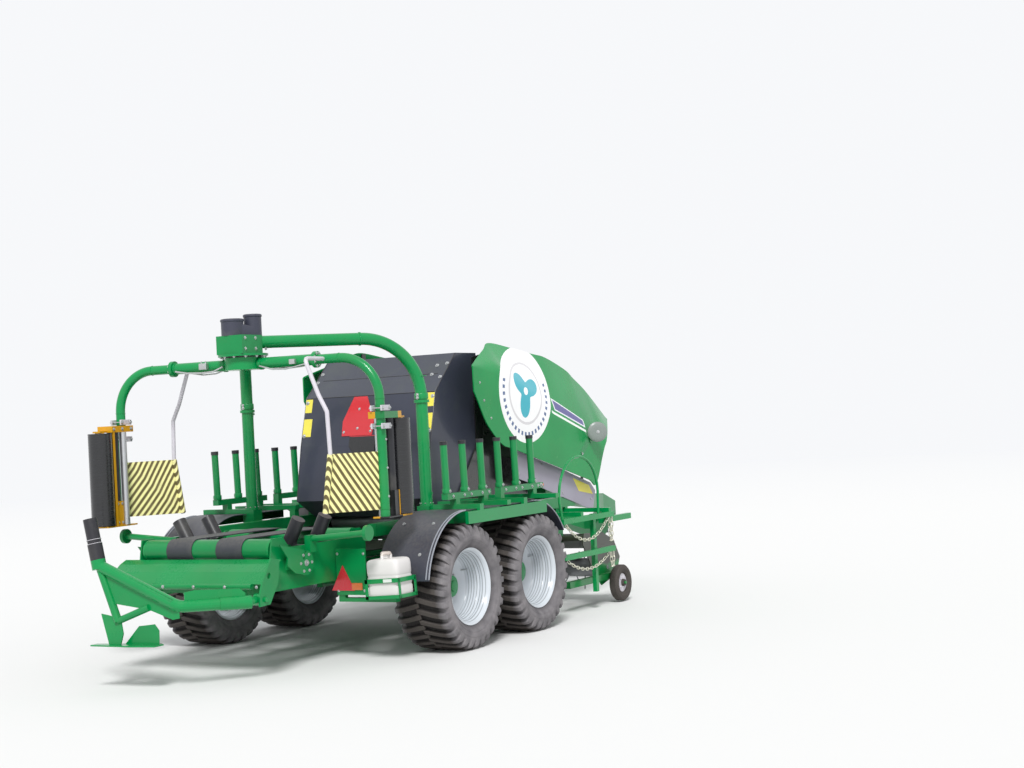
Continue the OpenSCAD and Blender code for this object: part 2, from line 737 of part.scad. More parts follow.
module table_frame() {
    side = table_half + 15;
    color("#14914b") {
        both_sides() {
            difference() {
                plate_xz(side, side + 12) polygon([[-3100, 640], [-1780, 640], [-1780, 980], [-1850, 1030],
                    [-1980, 1030], [-2050, 960], [-2800, 960], [-2870, 1040], [-3005, 1040],
                    [-3035.6, 879.6], [-3103.8, 849.5]]);
                for (x = [-table_back, -table_back + table_gap])
                    across(x, table_z, table_half, table_half + 40, 60 + 2 * play);
            }
            // Round-ended plates of the cutters on their spacers
            plate_xz(694, 706) cutter_outline();
            block([-2860, side + 12, 790], [-2780, 694, 870]);
        }
        for (x = [-3060, -2000])
            block([x - 40, -side, rail_top], [x + 40, side, rail_top + 50]);
        // Pivot plate of the tipper
        difference() {
            plate_xz(-760, -745) pivot_outline();
            across(pivot.x, pivot.y, -800, -700, 40 + 2 * play);
        }
        block([-3150, -745, 700], [-3085, -side - 12, 800]);
    }
}

module table_rollers() {
    color("#14914b") for (x = [-table_back, -table_back + table_gap]) {
        across(x, table_z, -table_half, table_half, table_roller_d);
        across(x, table_z, -table_half - 27, table_half + 27, 60);
    }
}

module table_belts() {
    r = table_roller_d / 2 + seat;
    color("#1a1a1b") both_sides() plate_xz(120, 370)
        translate([-table_back, table_z]) difference() {
            union() {
                circle(r = r + 8);
                translate([table_gap, 0]) circle(r = r + 8);
                translate([0, -r - 8]) square([table_gap, 2 * r + 16]);
            }
            circle(r = r);
            translate([table_gap, 0]) circle(r = r);
            translate([0, -r]) square([table_gap, 2 * r]);
        }
}

module guide_rollers() {
    color("#1a1a1b") both_sides() for (x = [-2600, -2250]) {
        rod([x, 600, 1160], [x, 500, 980], 110);
        block([x - 20, 530, 930], [x + 20, table_half + 15, 960]);
        block([x - 20, 530, 930], [x + 20, 560, 1030]);
    }
}

module apron() {
    color("#14914b") {
        plate_xz(-745 + seat, 784) polygon([[-3040, 890], [-3110, 860], [-3180, 810],
            [-3254, 727], [-3246, 719], [-3172, 801], [-3104, 850], [-3036, 880]]);
        // Rolled lower edge, which ends short of the tipper's pivot
        across(-3262, 708, -640, 784, 44);
    }
}

module bale_chute() {
    color("#2a2c2e") {
        plate_xz(-560, 560) polygon([[-560, 820], [-700, 800], [-1780, 830], [-1780, 822],
            [-700, 792], [-560, 812]]);
        both_sides() {
            block([-740, rail_y - 20, rail_top], [-700, rail_y + 20, 796]);
            block([-1740, rail_y - 20, rail_top], [-1700, rail_y + 20, 824]);
        }
    }
}

module light_boards() {
    color("#14914b") {
        both_sides() {
            block([-2212, table_half + 35, 525], [-2200, 935, 890]);
            block([-2200, table_half + 27, 650], [-2160, 900, 700]);
        }
        // Bracket of the water can
        block([-2200, -1200, 470], [-2140, -660, 500]);
        block([-2200, -720, 500], [-2160, -660, 650]);
    }
}

module reflectors() {
    color("#d7323c") both_sides() translate([-2218, 718, 560]) rotate([90, 0, 90])
        linear_extrude(height = 6 - seat) polygon([[-110, 0], [110, 0], [0, 200]]);
}

module water_can() {
    low = [-2320, -1320];
    high = [-2080, -1000];
    r = 45;
    color("#ebe1d7") {
        hull() for (x = [low.x + r, high.x - r]) for (y = [low.y + r, high.y - r]) {
            translate([x, y, 500]) cylinder(h = 270, r = r, $fn = 32);
            translate([x, y * 0.985 - 17, 500]) cylinder(h = 310, r = r * 0.6, $fn = 32);
        }
        // Handle, neck and cap
        block([-2290, -1180, 800], [-2265, -1140, 860]);
        block([-2190, -1180, 800], [-2165, -1140, 860]);
        block([-2290, -1180, 845], [-2165, -1140, 870]);
        translate([-2125, -1090, 800]) cylinder(h = 45, d = 62);
        translate([-2125, -1090, 838]) cylinder(h = 32, d = 76);
    }
}

module film_cutters() {
    color("#14914b") both_sides() {
        rod([-2560, 690, 1000], [-2560, 1200, 1040], 50);
        across(-2560, 1040, 1200, 1230, 120);
        block([-2600, 647, 900], [-2520, 700, 1030]);
    }
}

module gauge_wheel(side) {
    color("#8a8580") translate([1750, side * 1200, 185]) rotate([-90, 0, 0]) difference() {
        rotate_extrude() polygon(both_halves([[0, 46], [32, 46], [36, 20], [92, 16], [104, 34], [116, 38],
            [130, 46], [162, 42], [175, 28]]));
        translate([0, 0, -60]) cylinder(h = 120, d = 30 + 2 * play);
    }
}

module pickup_frame() {
    color("#14914b") difference() {
        both_sides() {
            plate_xz(1080, 1092) polygon([[1230, 710], [1620, 690], [1860, 600], [1980, 420],
                [1900, 260], [1560, 180], [1420, 300], [1200, 610]]);
            across(pick_pivot.x, pick_pivot.y, side_y, 1080, 60);
            block([790, 1092, 230], [1850, 1150, 290]);
            across(1750, 185, 1092, 1260, 30);
            block([1730, 1092, 165], [1770, 1110, 232]);
        }
        across(reel.x, reel.y, -1100, 1100, 40 + 2 * play);
    }
    color("#2a2c2e") {
        across(1580, 650, -1080, 1080, 60);
        plate_xz(-1080, 1080) polygon([[1550, 612], [1700, 602], [1860, 512], [1866, 518],
            [1704, 612], [1550, 622]]);
    }
}

reel = [1700, 340];

module pickup_reel() {
    color("#4a4d50") {
        across(reel.x, reel.y, -1070, 1070, 180);
        across(reel.x, reel.y, -1092, 1092, 40);
        for (i = [-7 : 7]) for (k = [0 : 3])
            translate([reel.x, i * 140, reel.y]) rotate([0, i * 45 + k * 90, 0])
                rod([0, 0, 80], [20, 0, 215], 12);
    }
}

// A cover's sections: place along the machine, outer face's distance from the middle,
// its lower edge, its crease, the shoulder's inner edge from the middle, and that edge's height.
cover_rows = [[-400, 930, 2100, 2325, 915, 2335], [-345, 930, 2020, 2325, 900, 2355],
    [-195, 930, 1800, 2323, 850, 2405], [50, 930, 1617, 2320, 775, 2485],
    [240, 930, 1570, 2246, 722, 2550], [640, 930, 1471, 2072, 722, 2510],
    [1060, 930, 1366, 1890, 722, 2455], [1320, 930, 1301, 1810, 722, 2420],
    [1720, 930, 1201, 1690, 722, 2300], [1886, 930, 1160, 1647, 722, 2215],
    [2150, 930, 1560, 1580, 722, 2078], [2560, 745, 1776, 1786, 722, 1810]];
cover_t = 14;
cover_out = 930;
cover_in = 722;

module side_cover() {
    steps = 4;
    rows = concat([for (i = [0 : len(cover_rows) - 2]) for (k = [0 : steps - 1])
        smooth_row(cover_rows, i, k / steps)], [cover_rows[len(cover_rows) - 1]]);
    tube_mesh([for (r = rows)
        let (y = min(r[1], cover_out),
            top = max(r[4], cover_in),
            slope = [top - y, r[5] - r[3]],
            // Depth of the rounded crease, less where the sheet is narrow
            soft = min(18, norm(slope) / 2, (r[3] - r[2]) / 2),
            over = unit(slope) * soft)
        each [[r[0], y, r[2]], [r[0], y, r[3] - soft], [r[0], y - soft / 5, r[3] - soft / 18],
            [r[0], y + over.x, r[3] + over.y], [r[0], top, r[5]], [r[0], top, r[5] - cover_t],
            [r[0], y - cover_t, r[3] - cover_t], [r[0], y - cover_t, r[2]]]], 8);
}

module rotor_part() {
    translate([rotor_x, 0, 0]) for (a = [arm_turn, arm_turn + 180]) rotate([0, 0, a]) children();
}

module rotor_arms() {
    color("#14914b") {
        difference() {
            translate([rotor_x, 0, arm_z - 45]) cylinder(h = hub_top - arm_z + 45, d = 300);
            translate([rotor_x, 0, 2300]) cylinder(h = 200, d = 60 + 2 * play);
        }
        rotor_part() {
            rod([140, 0, arm_z], [650, 0, arm_z], sleeve_d);
            translate([650, 0, arm_z]) rotate([0, 90, 0]) cylinder(h = 30, d = 130);
            bent_tube([[670, 0, arm_z], [arm_r, 0, arm_z], [arm_r, 0, tube_foot]], arm_d, 330);
        }
    }
}

module dispensers() {
    top = film_z + film_l + 5;
    foot = tube_foot - 3;
    deck = film_z - 5;
    gear_top = film_z + 190;
    wall = 6;
    color("#d79a1c") rotor_part() {
        difference() {
            union() {
                // Trough over the rollers and the arm that reaches to the roll of film
                difference() {
                    block([arm_r - 80, -52, top], [arm_r + 62, 240, top + 52]);
                    block([arm_r - 80 + wall, 44, top + wall], [arm_r + 62 - wall, 240 - wall, top + 53]);
                }
                block([arm_r - 35, 240 - wall, top], [arm_r + 35, film_in + 45, top + 14]);
                // Foot plate, gear box and strap
                block([arm_r - 80, -52, foot], [arm_r + 62, film_in + 50, deck]);
                block([arm_r - 64, 108, deck - 1], [arm_r + 36, 199, gear_top]);
                block([arm_r - 78, 202, deck - 1], [arm_r - 72, 226, top + 1]);
                translate([arm_r, film_in, deck]) cylinder(h = 45, d = core_d - 2 * seat);
                translate([arm_r, film_in, top - 40]) cylinder(h = 41, d = core_d - 2 * seat);
            }
            translate([arm_r, 0, tube_foot]) cylinder(h = 1000, d = arm_d + 2 * seat);
        }
    }
}

module stretch_rollers() {
    top = film_z + film_l + 5;
    gear_top = film_z + 190;
    color("#3a3d42") rotor_part() {
        translate([arm_r - 15, 150, gear_top]) cylinder(h = top - gear_top, d = 90);
        translate([arm_r - 62, 75, film_z - 5]) cylinder(h = film_l + 10, d = 60);
    }
}

module film_roll(a) {
    color("#17181a") translate([rotor_x, 0, 0]) rotate([0, 0, a]) translate([arm_r, film_in, film_z])
        difference() {
            cylinder(h = film_l, d = film_d);
            translate([0, 0, -1]) cylinder(h = film_l + 2, d = core_d);
        }
}

bar_pts = [[745, -arm_d / 2 - seat, arm_z], [745, -330, arm_z], [860, -345, 2110], [930, -350, 1976],
    [940, -350, 1650], [870, -345, 1196]];

module safety_bars() {
    color("#c8c3cd") rotor_part() swept(rounded(bar_pts, 50, 3), 34, 12);
}

module striped_sheets() {
    bar = [[bar_pts[4].x, bar_pts[4].y], [bar_pts[5].x, bar_pts[5].y]];
    post = [arm_r, 0];
    way = [for (b = bar) unit(post - b)];
    near = [for (i = [0, 1]) bar[i] + way[i] * (17 + 2 + seat)];
    far = [for (i = [0, 1]) post - way[i] * (arm_d / 2 + 2 + seat)];
    color("#f0eba0") rotor_part() hull() {
        rod([near[0].x, near[0].y, 1650], [near[1].x, near[1].y, 1200], 4);
        rod([far[0].x, far[0].y, 1650], [far[1].x, far[1].y, 1200], 4);
    }
}

pivot = [-3262, 615];

post_d = 110;
tip_x = -hitch_reach + post_d / 2;
tip_y = -704;
tip_bend = [-3391, tip_y, 612];
tip_turn = [tip_x, -391, 624];
tip_end = [tip_x, 345, 917];
post_foot = [tip_x, 360, 925];
post_way = unit([0, 1, 4.9]);

// A plate in Y and Z, in the plane of the tipper's rear.
module plate_yz(t, forward = 0) {
    placed([tip_x - t / 2 + forward, 0, 0], [0, 1, 0], [1, 0, 0]) linear_extrude(height = t) children();
}

module tipper() {
    along = unit(tip_turn - tip_bend);
    run = norm(tip_turn - tip_bend);
    flat_way = unit([along.x, along.y, 0]);
    side_way = cross(flat_way, [0, 0, 1]);
    color("#14914b") {
        across(pivot.x, pivot.y, -775, -735, 40);
        across(pivot.x, pivot.y, -738, -672, 90);
        rod([pivot.x, tip_y, pivot.y], tip_bend, 66);
        swept(rounded([tip_bend, tip_turn, tip_end], 90, 5), 88, 16);
        // Sleeve on the straight stretch, and the web under it
        rod(tip_bend - along * 20, tip_bend + along * 0.42 * run, 98);
        placed(tip_bend - side_way * 4, flat_way, side_way) linear_extrude(height = 8)
            polygon([[20, 0], [run - 40, 0], [run - 40, 110], [run - 120, 122], [60, 104], [20, 70]]);
        // Web under the rising stretch
        plate_yz(8) polygon([[-391, 640], [300, 890], [292, 695], [280, 648], [-111, 599], [-330, 530],
            [-391, 540]]);
        // Strut, brace and collar of the post
        rod([tip_x, 350, 900], [tip_x, 195, 508], 60);
        rod([tip_x, -112, 617], [tip_x, 190, 515], 52);
        rod(post_foot - post_way * 30, post_foot + post_way * 40, post_d);
        // Folded foot: upright fin, base and turned-up fin
        plate_yz(10) polygon([[356, 565], [297, 556], [170, 530], [150, 420], [181, 334], [290, 334]]);
        translate([0, 0, 328]) linear_extrude(height = 10) polygon([[tip_x - 45, 440], [tip_x + 30, 440],
            [tip_x + 120, -100], [tip_x + 90, -150], [tip_x - 10, -150], [tip_x - 45, 60]]);
        plate_yz(10, 60) polygon([[190, 334], [48, 470], [-100, 486], [-139, 440], [-135, 334]]);
    }
}

module tipper_post() {
    from = post_foot + post_way * (40 + seat);
    color("#232427") {
        rod(from, from + post_way * 118, post_d);
        rod(from + post_way * 117, from + post_way * 310, post_d - 8);
    }
}

main_frame();
drawbar();
hitch_eye();
bogies();
jack_body();
jack_leg();
chamber_walls();
press_rollers();
gearbox();
feeder_plates();
intake_plates();
feed_rotor();
net_box();
net_lid();
mudguards();
film_racks();
post_caps();
side_guards();
guard_chains();
nose_discs();
arch();
rotor_head();
head_cover();
slew_ring();
table_frame();
table_rollers();
table_belts();
guide_rollers();
apron();
bale_chute();
light_boards();
reflectors();
water_can();
film_cutters();
tyre(axle_x[0], -1);  // tyre_fr
rim(axle_x[0], -1);  // rim_fr
tyre(axle_x[0], 1);  // tyre_fl
rim(axle_x[0], 1);  // rim_fl
tyre(axle_x[1], -1);  // tyre_rr
rim(axle_x[1], -1);  // rim_rr
tyre(axle_x[1], 1);  // tyre_rl
rim(axle_x[1], 1);  // rim_rl
gauge_wheel(-1);  // gauge_wheel_r
gauge_wheel(1);  // gauge_wheel_l
pickup_frame();
pickup_reel();
tailgate();
gate_rollers();
warning_plate();
color("#14914b") mirror([0, 1, 0]) side_cover();  // cover_r
color("#14914b") side_cover();  // cover_l
rotor_arms();
dispensers();
stretch_rollers();
safety_bars();
striped_sheets();
film_roll(arm_turn);  // film_roll_r
film_roll(arm_turn + 180);  // film_roll_l
tipper();
tipper_post();
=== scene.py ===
import math
import bpy
import bmesh
from mathutils import Vector, Matrix


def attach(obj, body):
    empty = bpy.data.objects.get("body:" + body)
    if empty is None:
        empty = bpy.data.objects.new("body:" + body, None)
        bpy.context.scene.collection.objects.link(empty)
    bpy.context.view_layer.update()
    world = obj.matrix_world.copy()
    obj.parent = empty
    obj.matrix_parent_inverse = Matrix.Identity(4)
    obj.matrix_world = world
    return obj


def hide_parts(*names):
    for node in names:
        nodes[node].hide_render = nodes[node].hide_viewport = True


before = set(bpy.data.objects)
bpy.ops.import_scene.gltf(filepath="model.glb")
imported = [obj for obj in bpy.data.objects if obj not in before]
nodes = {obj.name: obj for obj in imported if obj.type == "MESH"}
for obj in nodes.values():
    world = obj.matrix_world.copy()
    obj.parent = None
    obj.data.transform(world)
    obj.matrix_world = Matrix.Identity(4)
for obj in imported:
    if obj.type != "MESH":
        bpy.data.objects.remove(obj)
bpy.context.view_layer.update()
print("frame loaded:", len(nodes), "nodes")

# Sizes that several pieces share, in metres, in the frame's own axes
machine = {
    "axles": (-0.31, -1.45),
    "tyreRadius": 0.51,
    "tyreWidth": 0.5,
    "tyreSide": 1.225,
    "guardRadius": 0.61,
    "rotorX": -2.427,
    "armRadius": 1.205,
    "armTurn": -83,
    "armHeight": 2.395,
    "filmFoot": 1.15,
    "filmLength": 0.75,
}


# What turns with the rotor is placed along an arm, and sideways from it
def armPoint(turn, along, across, height):
    angle = math.radians(turn)
    return Vector((machine["rotorX"] + along * math.cos(angle) - across * math.sin(angle),
                   along * math.sin(angle) + across * math.cos(angle), height))


def armWay(turn, along):
    return armPoint(turn, along, 0.0, 0.0) - armPoint(turn, 0.0, 0.0, 0.0)


def armFrame(turn, along=0.0):
    # the move that takes a form made round the origin out along an arm
    turned = Matrix.Rotation(math.radians(turn), 4, "Z")
    return Matrix.Translation(armPoint(turn, along, 0.0, 0.0)) @ turned


armTurns = {"film_r": machine["armTurn"], "film_l": machine["armTurn"] + 180}


def tint(red, green, blue):
    # a colour as a screen shows it, from 0 to 255, as the linear value that a shader takes
    channels = []
    for part in (red, green, blue):
        share = part / 255
        channels.append(share / 12.92 if share <= 0.04045 else ((share + 0.055) / 1.055) ** 2.4)
    return (*channels, 1.0)


def scaled(color, share):
    return tuple(c * share for c in color[:3]) + (1.0,)


# Camera: its turns in degrees, its lens and sensor in millimetres, the rest in metres
camera = {
    "place": (-13.175, -8.566, 1.871),
    "azimuth": -60.419,
    "elevation": -1.073,
    "roll": -3.0,
    "lens": 59.48,
    "sensor": 36.0,
    "farthest": 400,
}


def makeCamera():
    azimuth, elevation, roll = (math.radians(camera[key]) for key in ("azimuth", "elevation", "roll"))
    level = math.cos(elevation)
    back = Vector((math.sin(azimuth) * level, -math.cos(azimuth) * level, math.sin(elevation)))
    right = (-back).cross(Vector((0, 0, 1))).normalized()
    up = right.cross(-back)
    turnedRight = right * math.cos(roll) + up * math.sin(roll)
    turnedUp = up * math.cos(roll) - right * math.sin(roll)
    lens = bpy.data.cameras.new("camera")
    lens.lens = camera["lens"]
    lens.sensor_width = camera["sensor"]
    lens.clip_end = camera["farthest"]
    eye = bpy.data.objects.new("camera", lens)
    bpy.context.scene.collection.objects.link(eye)
    turn = Matrix((turnedRight, turnedUp, back)).transposed().to_4x4()
    eye.matrix_world = Matrix.Translation(camera["place"]) @ turn
    bpy.context.scene.camera = eye


makeCamera()
print("camera placed")


# Shader maths
class Wire:
    # a shader socket that can be added, multiplied and compared like a number
    def __init__(self, tree, socket):
        self.tree = tree
        self.socket = socket

    def math(self, operation, *values, clamp=False):
        node = self.tree.nodes.new("ShaderNodeMath")
        node.operation = operation
        node.use_clamp = clamp
        for slot, value in enumerate(values):
            plug(self.tree, value, node.inputs[slot])
        return Wire(self.tree, node.outputs[0])

    def __add__(self, other):
        return self.math("ADD", self, other)

    def __radd__(self, other):
        return self.math("ADD", other, self)

    def __sub__(self, other):
        return self.math("SUBTRACT", self, other)

    def __rsub__(self, other):
        return self.math("SUBTRACT", other, self)

    def __mul__(self, other):
        return self.math("MULTIPLY", self, other)

    def __rmul__(self, other):
        return self.math("MULTIPLY", other, self)

    def __truediv__(self, other):
        return self.math("DIVIDE", self, other)

    def __rtruediv__(self, other):
        return self.math("DIVIDE", other, self)

    def __gt__(self, other):
        return self.math("GREATER_THAN", self, other)

    def __lt__(self, other):
        return self.math("LESS_THAN", self, other)

    def __abs__(self):
        return self.math("ABSOLUTE", self)

    def root(self):
        return self.math("SQRT", self)

    def part(self):
        # what is left after the whole number
        return self.math("FRACT", self)

    def atLeast(self, other):
        return self.math("MAXIMUM", self, other)

    def atMost(self, other):
        return self.math("MINIMUM", self, other)

    def clamped(self):
        return self.math("ADD", self, 0, clamp=True)

    def fade(self, low, high):
        # 0 below low, 1 above high, and a straight ramp between them
        return ((self - low) / (high - low)).clamped()


def plug(tree, value, socket):
    if isinstance(value, Wire):
        tree.links.new(value.socket, socket)
    else:
        socket.default_value = value


class Nodes:
    # a node tree, and the one way that nodes other than sums are added to it
    def __init__(self, tree):
        self.tree = tree

    def node(self, kind, settings=None, values=None, output=0):
        made = self.tree.nodes.new(kind)
        for key, value in (settings or {}).items():
            setattr(made, key, value)
        for key, value in (values or {}).items():
            plug(self.tree, value, made.inputs[key])
        return Wire(self.tree, made.outputs[output])


class Finish(Nodes):
    # one material: a Principled shader and what feeds it
    def __init__(self, name, color, roughness=0.5, metallic=0.0, coat=0.0, coatRoughness=0.1,
                 specular=0.5):
        self.material = bpy.data.materials.new(name)
        self.material.use_nodes = True
        super().__init__(self.material.node_tree)
        self.shader = self.tree.nodes["Principled BSDF"]
        self.put("Base Color", color)
        self.put("Roughness", roughness)
        self.put("Metallic", metallic)
        self.put("Coat Weight", coat)
        self.put("Coat Roughness", coatRoughness)
        self.put("Specular IOR Level", specular)
        self.material.diffuse_color = color

    def put(self, name, value):
        plug(self.tree, value, self.shader.inputs[name])

    def painted(self):
        # what feeds the colour so far
        return Wire(self.tree, self.shader.inputs["Base Color"].links[0].from_socket)

    def place(self):
        return self.node("ShaderNodeTexCoord", output="Object")

    def split(self, vector):
        first = self.node("ShaderNodeSeparateXYZ", values={"Vector": vector})
        return [Wire(self.tree, socket) for socket in first.socket.node.outputs]

    def axes(self):
        return self.split(self.place())

    def looks(self):
        # which way a surface looks, as three parts in the piece's own axes
        return self.split(self.node("ShaderNodeTexCoord", output="Normal"))

    def upward(self):
        # how much a surface faces the sky, from 0 to 1
        return self.looks()[2].fade(0.2, 0.95)

    def noise(self, scale, detail=4, stretch=None):
        where = self.place()
        if stretch:
            where = self.node("ShaderNodeMapping", values={"Vector": where, "Scale": stretch})
        return self.node("ShaderNodeTexNoise", output="Fac", values={
            "Vector": where, "Scale": scale, "Detail": detail, "Roughness": 0.55})

    def mix(self, share, low, high):
        # between two colours
        return self.node("ShaderNodeMix", {"data_type": "RGBA"}, {0: share, 6: low, 7: high}, 2)

    def bump(self, height, strength, distance):
        self.put("Normal", self.node("ShaderNodeBump", values={
            "Height": height, "Strength": strength, "Distance": distance}))


# How paint, plastic and metal age: noise scales are in lumps a metre
wear = {
    "paintPatches": 3.5,
    "paintDust": 60,
    "paintShade": 1.3,
    "paintWorn": 34,
    "paintPeel": 220,
    "paintWornTint": (92, 84, 70),
    "paintShades": (0.86, 1.06),
    "plasticDust": 45,
    "plasticPatches": 4,
    "metalLines": 30,
    "metalStains": 6,
    "metalDark": 0.55,
}


def dustyPaint(name, color, roughness=0.32, coat=0.5, dust=0.35, dustColor=(128, 140, 96), peel=0.05,
               spots=0.0, specular=0.28):
    # sprayed paint with a little dust on what faces up, dirt in patches and small worn spots
    finish = Finish(name, color, coat=coat, coatRoughness=0.12, specular=specular)
    patches = finish.noise(wear["paintPatches"], detail=6)
    fine = finish.noise(wear["paintDust"], detail=3)
    dirt = (patches.fade(0.48, 0.8) * 0.2 + finish.upward() * dust * fine.fade(0.25, 0.7)).clamped()
    shade = finish.noise(wear["paintShade"], detail=3).fade(0.3, 0.7)
    paint = finish.mix(shade, *(scaled(color, share) for share in wear["paintShades"]))
    worn = finish.noise(wear["paintWorn"], detail=5).fade(0.70, 0.73) * spots
    paint = finish.mix(worn, paint, tint(*wear["paintWornTint"]))
    finish.put("Base Color", finish.mix(dirt * 0.5, paint, tint(*dustColor)))
    finish.put("Roughness", roughness + dirt * 0.45 + worn * 0.2)
    finish.put("Coat Weight", coat * (1 - dirt))
    finish.bump(finish.noise(wear["paintPeel"], detail=2), peel, 0.001)
    return finish


def plastic(name, color, roughness=0.5, dust=0.5, grain=700, dustColor=(165, 160, 145)):
    # moulded plastic with a fine grain, and dust on what faces up
    finish = Finish(name, color, specular=0.45)
    fine = finish.noise(wear["plasticDust"], detail=5)
    patches = finish.noise(wear["plasticPatches"], detail=5)
    cover = (finish.upward() * dust * fine.fade(0.2, 0.8) + patches.fade(0.55, 0.85) * 0.25).clamped()
    finish.put("Base Color", finish.mix(cover * 0.6, color, tint(*dustColor)))
    finish.put("Roughness", roughness + cover * 0.3)
    finish.bump(finish.noise(grain, detail=1), 0.15, 0.0004)
    return finish


def bareMetal(name, color, roughness=0.35, scratch=(2, 2, 60)):
    # drawn or rolled metal with lines along it and stains
    finish = Finish(name, color, metallic=1.0)
    lines = finish.noise(wear["metalLines"], detail=4, stretch=scratch)
    stain = finish.noise(wear["metalStains"], detail=5).fade(0.5, 0.8)
    finish.put("Base Color", finish.mix(stain * 0.6, color, scaled(color, wear["metalDark"])))
    finish.put("Roughness", roughness + lines * 0.15 + stain * 0.2)
    finish.put("Metallic", 1 - stain * 0.3)
    finish.bump(lines, 0.08, 0.0005)
    return finish


green = tint(0, 134, 70)
finishes = {
    "green": dustyPaint("greenPaint", green, coat=0.3, dust=0.2, spots=0.6),
    "greenClean": dustyPaint("greenPaintTubes", tint(0, 141, 73), roughness=0.26, coat=0.3,
                             dust=0.08, peel=0.02),
    "blueGrey": dustyPaint("blueGreyPaint", tint(60, 63, 77), roughness=0.34, coat=0.3, dust=0.15),
    "black": dustyPaint("blackPaint", tint(34, 35, 36), roughness=0.25, coat=0.6, dust=0.2),
    "olive": dustyPaint("olivePaint", tint(52, 56, 44), roughness=0.35, coat=0.3, dust=0.5,
                        dustColor=(120, 112, 70)),
    "violetGrey": dustyPaint("violetGreyPaint", tint(165, 160, 176), roughness=0.38, coat=0.2,
                             dust=0.25),
    "guardBlack": plastic("mudguardPlastic", tint(54, 56, 68), roughness=0.4, dust=0.35),
    "capBlack": plastic("capPlastic", tint(40, 40, 45), roughness=0.36, dust=0.3),
    "headGrey": plastic("headCoverPlastic", tint(58, 60, 74), roughness=0.42, dust=0.3),
    "steel": bareMetal("rollerSteel", tint(150, 152, 155), roughness=0.3),
    "zinc": bareMetal("zincSteel", tint(200, 202, 202), roughness=0.36),
    "forged": bareMetal("forgedSteel", tint(92, 92, 95), roughness=0.5, scratch=(9, 9, 9)),
    "chain": bareMetal("chainSteel", tint(222, 220, 205), roughness=0.3, scratch=(9, 9, 9)),
    "barGrey": dustyPaint("paleGreyPaint", tint(208, 204, 212), roughness=0.3, coat=0.4, dust=0.15),
    "belt": plastic("beltRubber", tint(58, 60, 66), roughness=0.6, dust=0.4, grain=250),
    "hose": plastic("hoseRubber", tint(30, 30, 32), roughness=0.45, dust=0.3, grain=400),
    "sticker": dustyPaint("plainSticker", tint(242, 228, 92), roughness=0.4, coat=0.2, dust=0.1),
    "bead": dustyPaint("beadStrip", tint(150, 153, 163), roughness=0.4, coat=0.2, dust=0.2),
    "label": dustyPaint("paleLabel", tint(226, 232, 226), roughness=0.4, coat=0.2, dust=0.1),
    "latch": plastic("latchPlate", tint(132, 140, 136), roughness=0.3, dust=0.2, grain=300),
}


def axleReach(x, z):
    # distance from the nearer axle, seen from the side
    ahead, behind = ((x - axle) * (x - axle) for axle in machine["axles"])
    rise = z - machine["tyreRadius"]
    return (ahead.atMost(behind) + rise * rise).root()


def armPlace(x, y):
    # distance out from the rotor along the arms, and sideways from the nearer one:
    # the left arm is the right one turned by half a turn
    cosine, sine = armWay(machine["armTurn"], 1.0).xy
    outward = (x - machine["rotorX"]) * cosine + y * sine
    across = y * cosine - (x - machine["rotorX"]) * sine
    return outward, across * (outward > 0) - across * (outward < 0)


# Pairs of distances are where a change starts and where it is full
tyreLook = {
    "wall": (0.17, 0.225),
    "rimDirt": (0.40, 0.30),
    "rimTint": (72, 70, 74),
    "wallTints": ((98, 96, 99), (136, 132, 134)),
    "treadTints": ((26, 26, 28), (58, 54, 52)),
    "worn": (0.490, 0.507),
    "wornTint": (104, 97, 92),
}


def tyreRubber():
    # dusty grey on the sidewalls, darker on the tread and in the grooves
    finish = Finish("tyreRubber", tint(60, 58, 58), roughness=0.8, specular=0.3)
    x, y, z = finish.axes()
    side = abs(abs(y) - machine["tyreSide"])
    reach = axleReach(x, z)
    cloud = finish.noise(9, detail=6)
    grit = finish.noise(130, detail=4)
    dusty = finish.mix(cloud.fade(0.3, 0.7), *(tint(*t) for t in tyreLook["wallTints"]))
    dusty = finish.mix(reach.fade(*tyreLook["rimDirt"]) * 0.35, dusty, tint(*tyreLook["rimTint"]))
    tread = finish.mix(grit.fade(0.35, 0.7), *(tint(*t) for t in tyreLook["treadTints"]))
    tread = finish.mix(reach.fade(*tyreLook["worn"]) * 0.4, tread, tint(*tyreLook["wornTint"]))
    finish.put("Base Color", finish.mix(side.fade(*tyreLook["wall"]), tread, dusty))
    finish.put("Roughness", 0.78 + grit * 0.15)
    finish.bump(grit, 0.35, 0.002)
    return finish


sheetLook = {
    "pitch": 0.0337,
    "share": 0.47,
    "soft": 0.06,
    "fall": 1.78,
    "sway": 0.5,
    "tints": ((243, 238, 166), (96, 86, 48)),
    "stainTint": (160, 150, 110),
}


def stripedSheet():
    # cream and olive stripes that fall towards the arm's upright tube
    finish = Finish("stripedSheet", tint(242, 236, 168), roughness=0.55)
    x, y, z = finish.axes()
    across = armPlace(x, y)[1]
    fall, share, soft = sheetLook["fall"], sheetLook["share"], sheetLook["soft"]
    sway = (finish.noise(2.2, detail=1) - 0.5) * sheetLook["sway"]
    stripe = ((across * fall + z) / (sheetLook["pitch"] * math.sqrt(1 + fall ** 2)) + sway).part()
    mask = stripe.fade(share - soft, share + soft) * (1 - stripe.fade(1 - soft, 1.0))
    stain = finish.noise(14, detail=5).fade(0.5, 0.8) * 0.3
    color = finish.mix(mask, *(tint(*t) for t in sheetLook["tints"]))
    finish.put("Base Color", finish.mix(stain, color, tint(*sheetLook["stainTint"])))
    finish.put("Roughness", 0.5 + stain * 0.4)
    finish.bump(finish.noise(80, detail=3), 0.1, 0.001)
    return finish


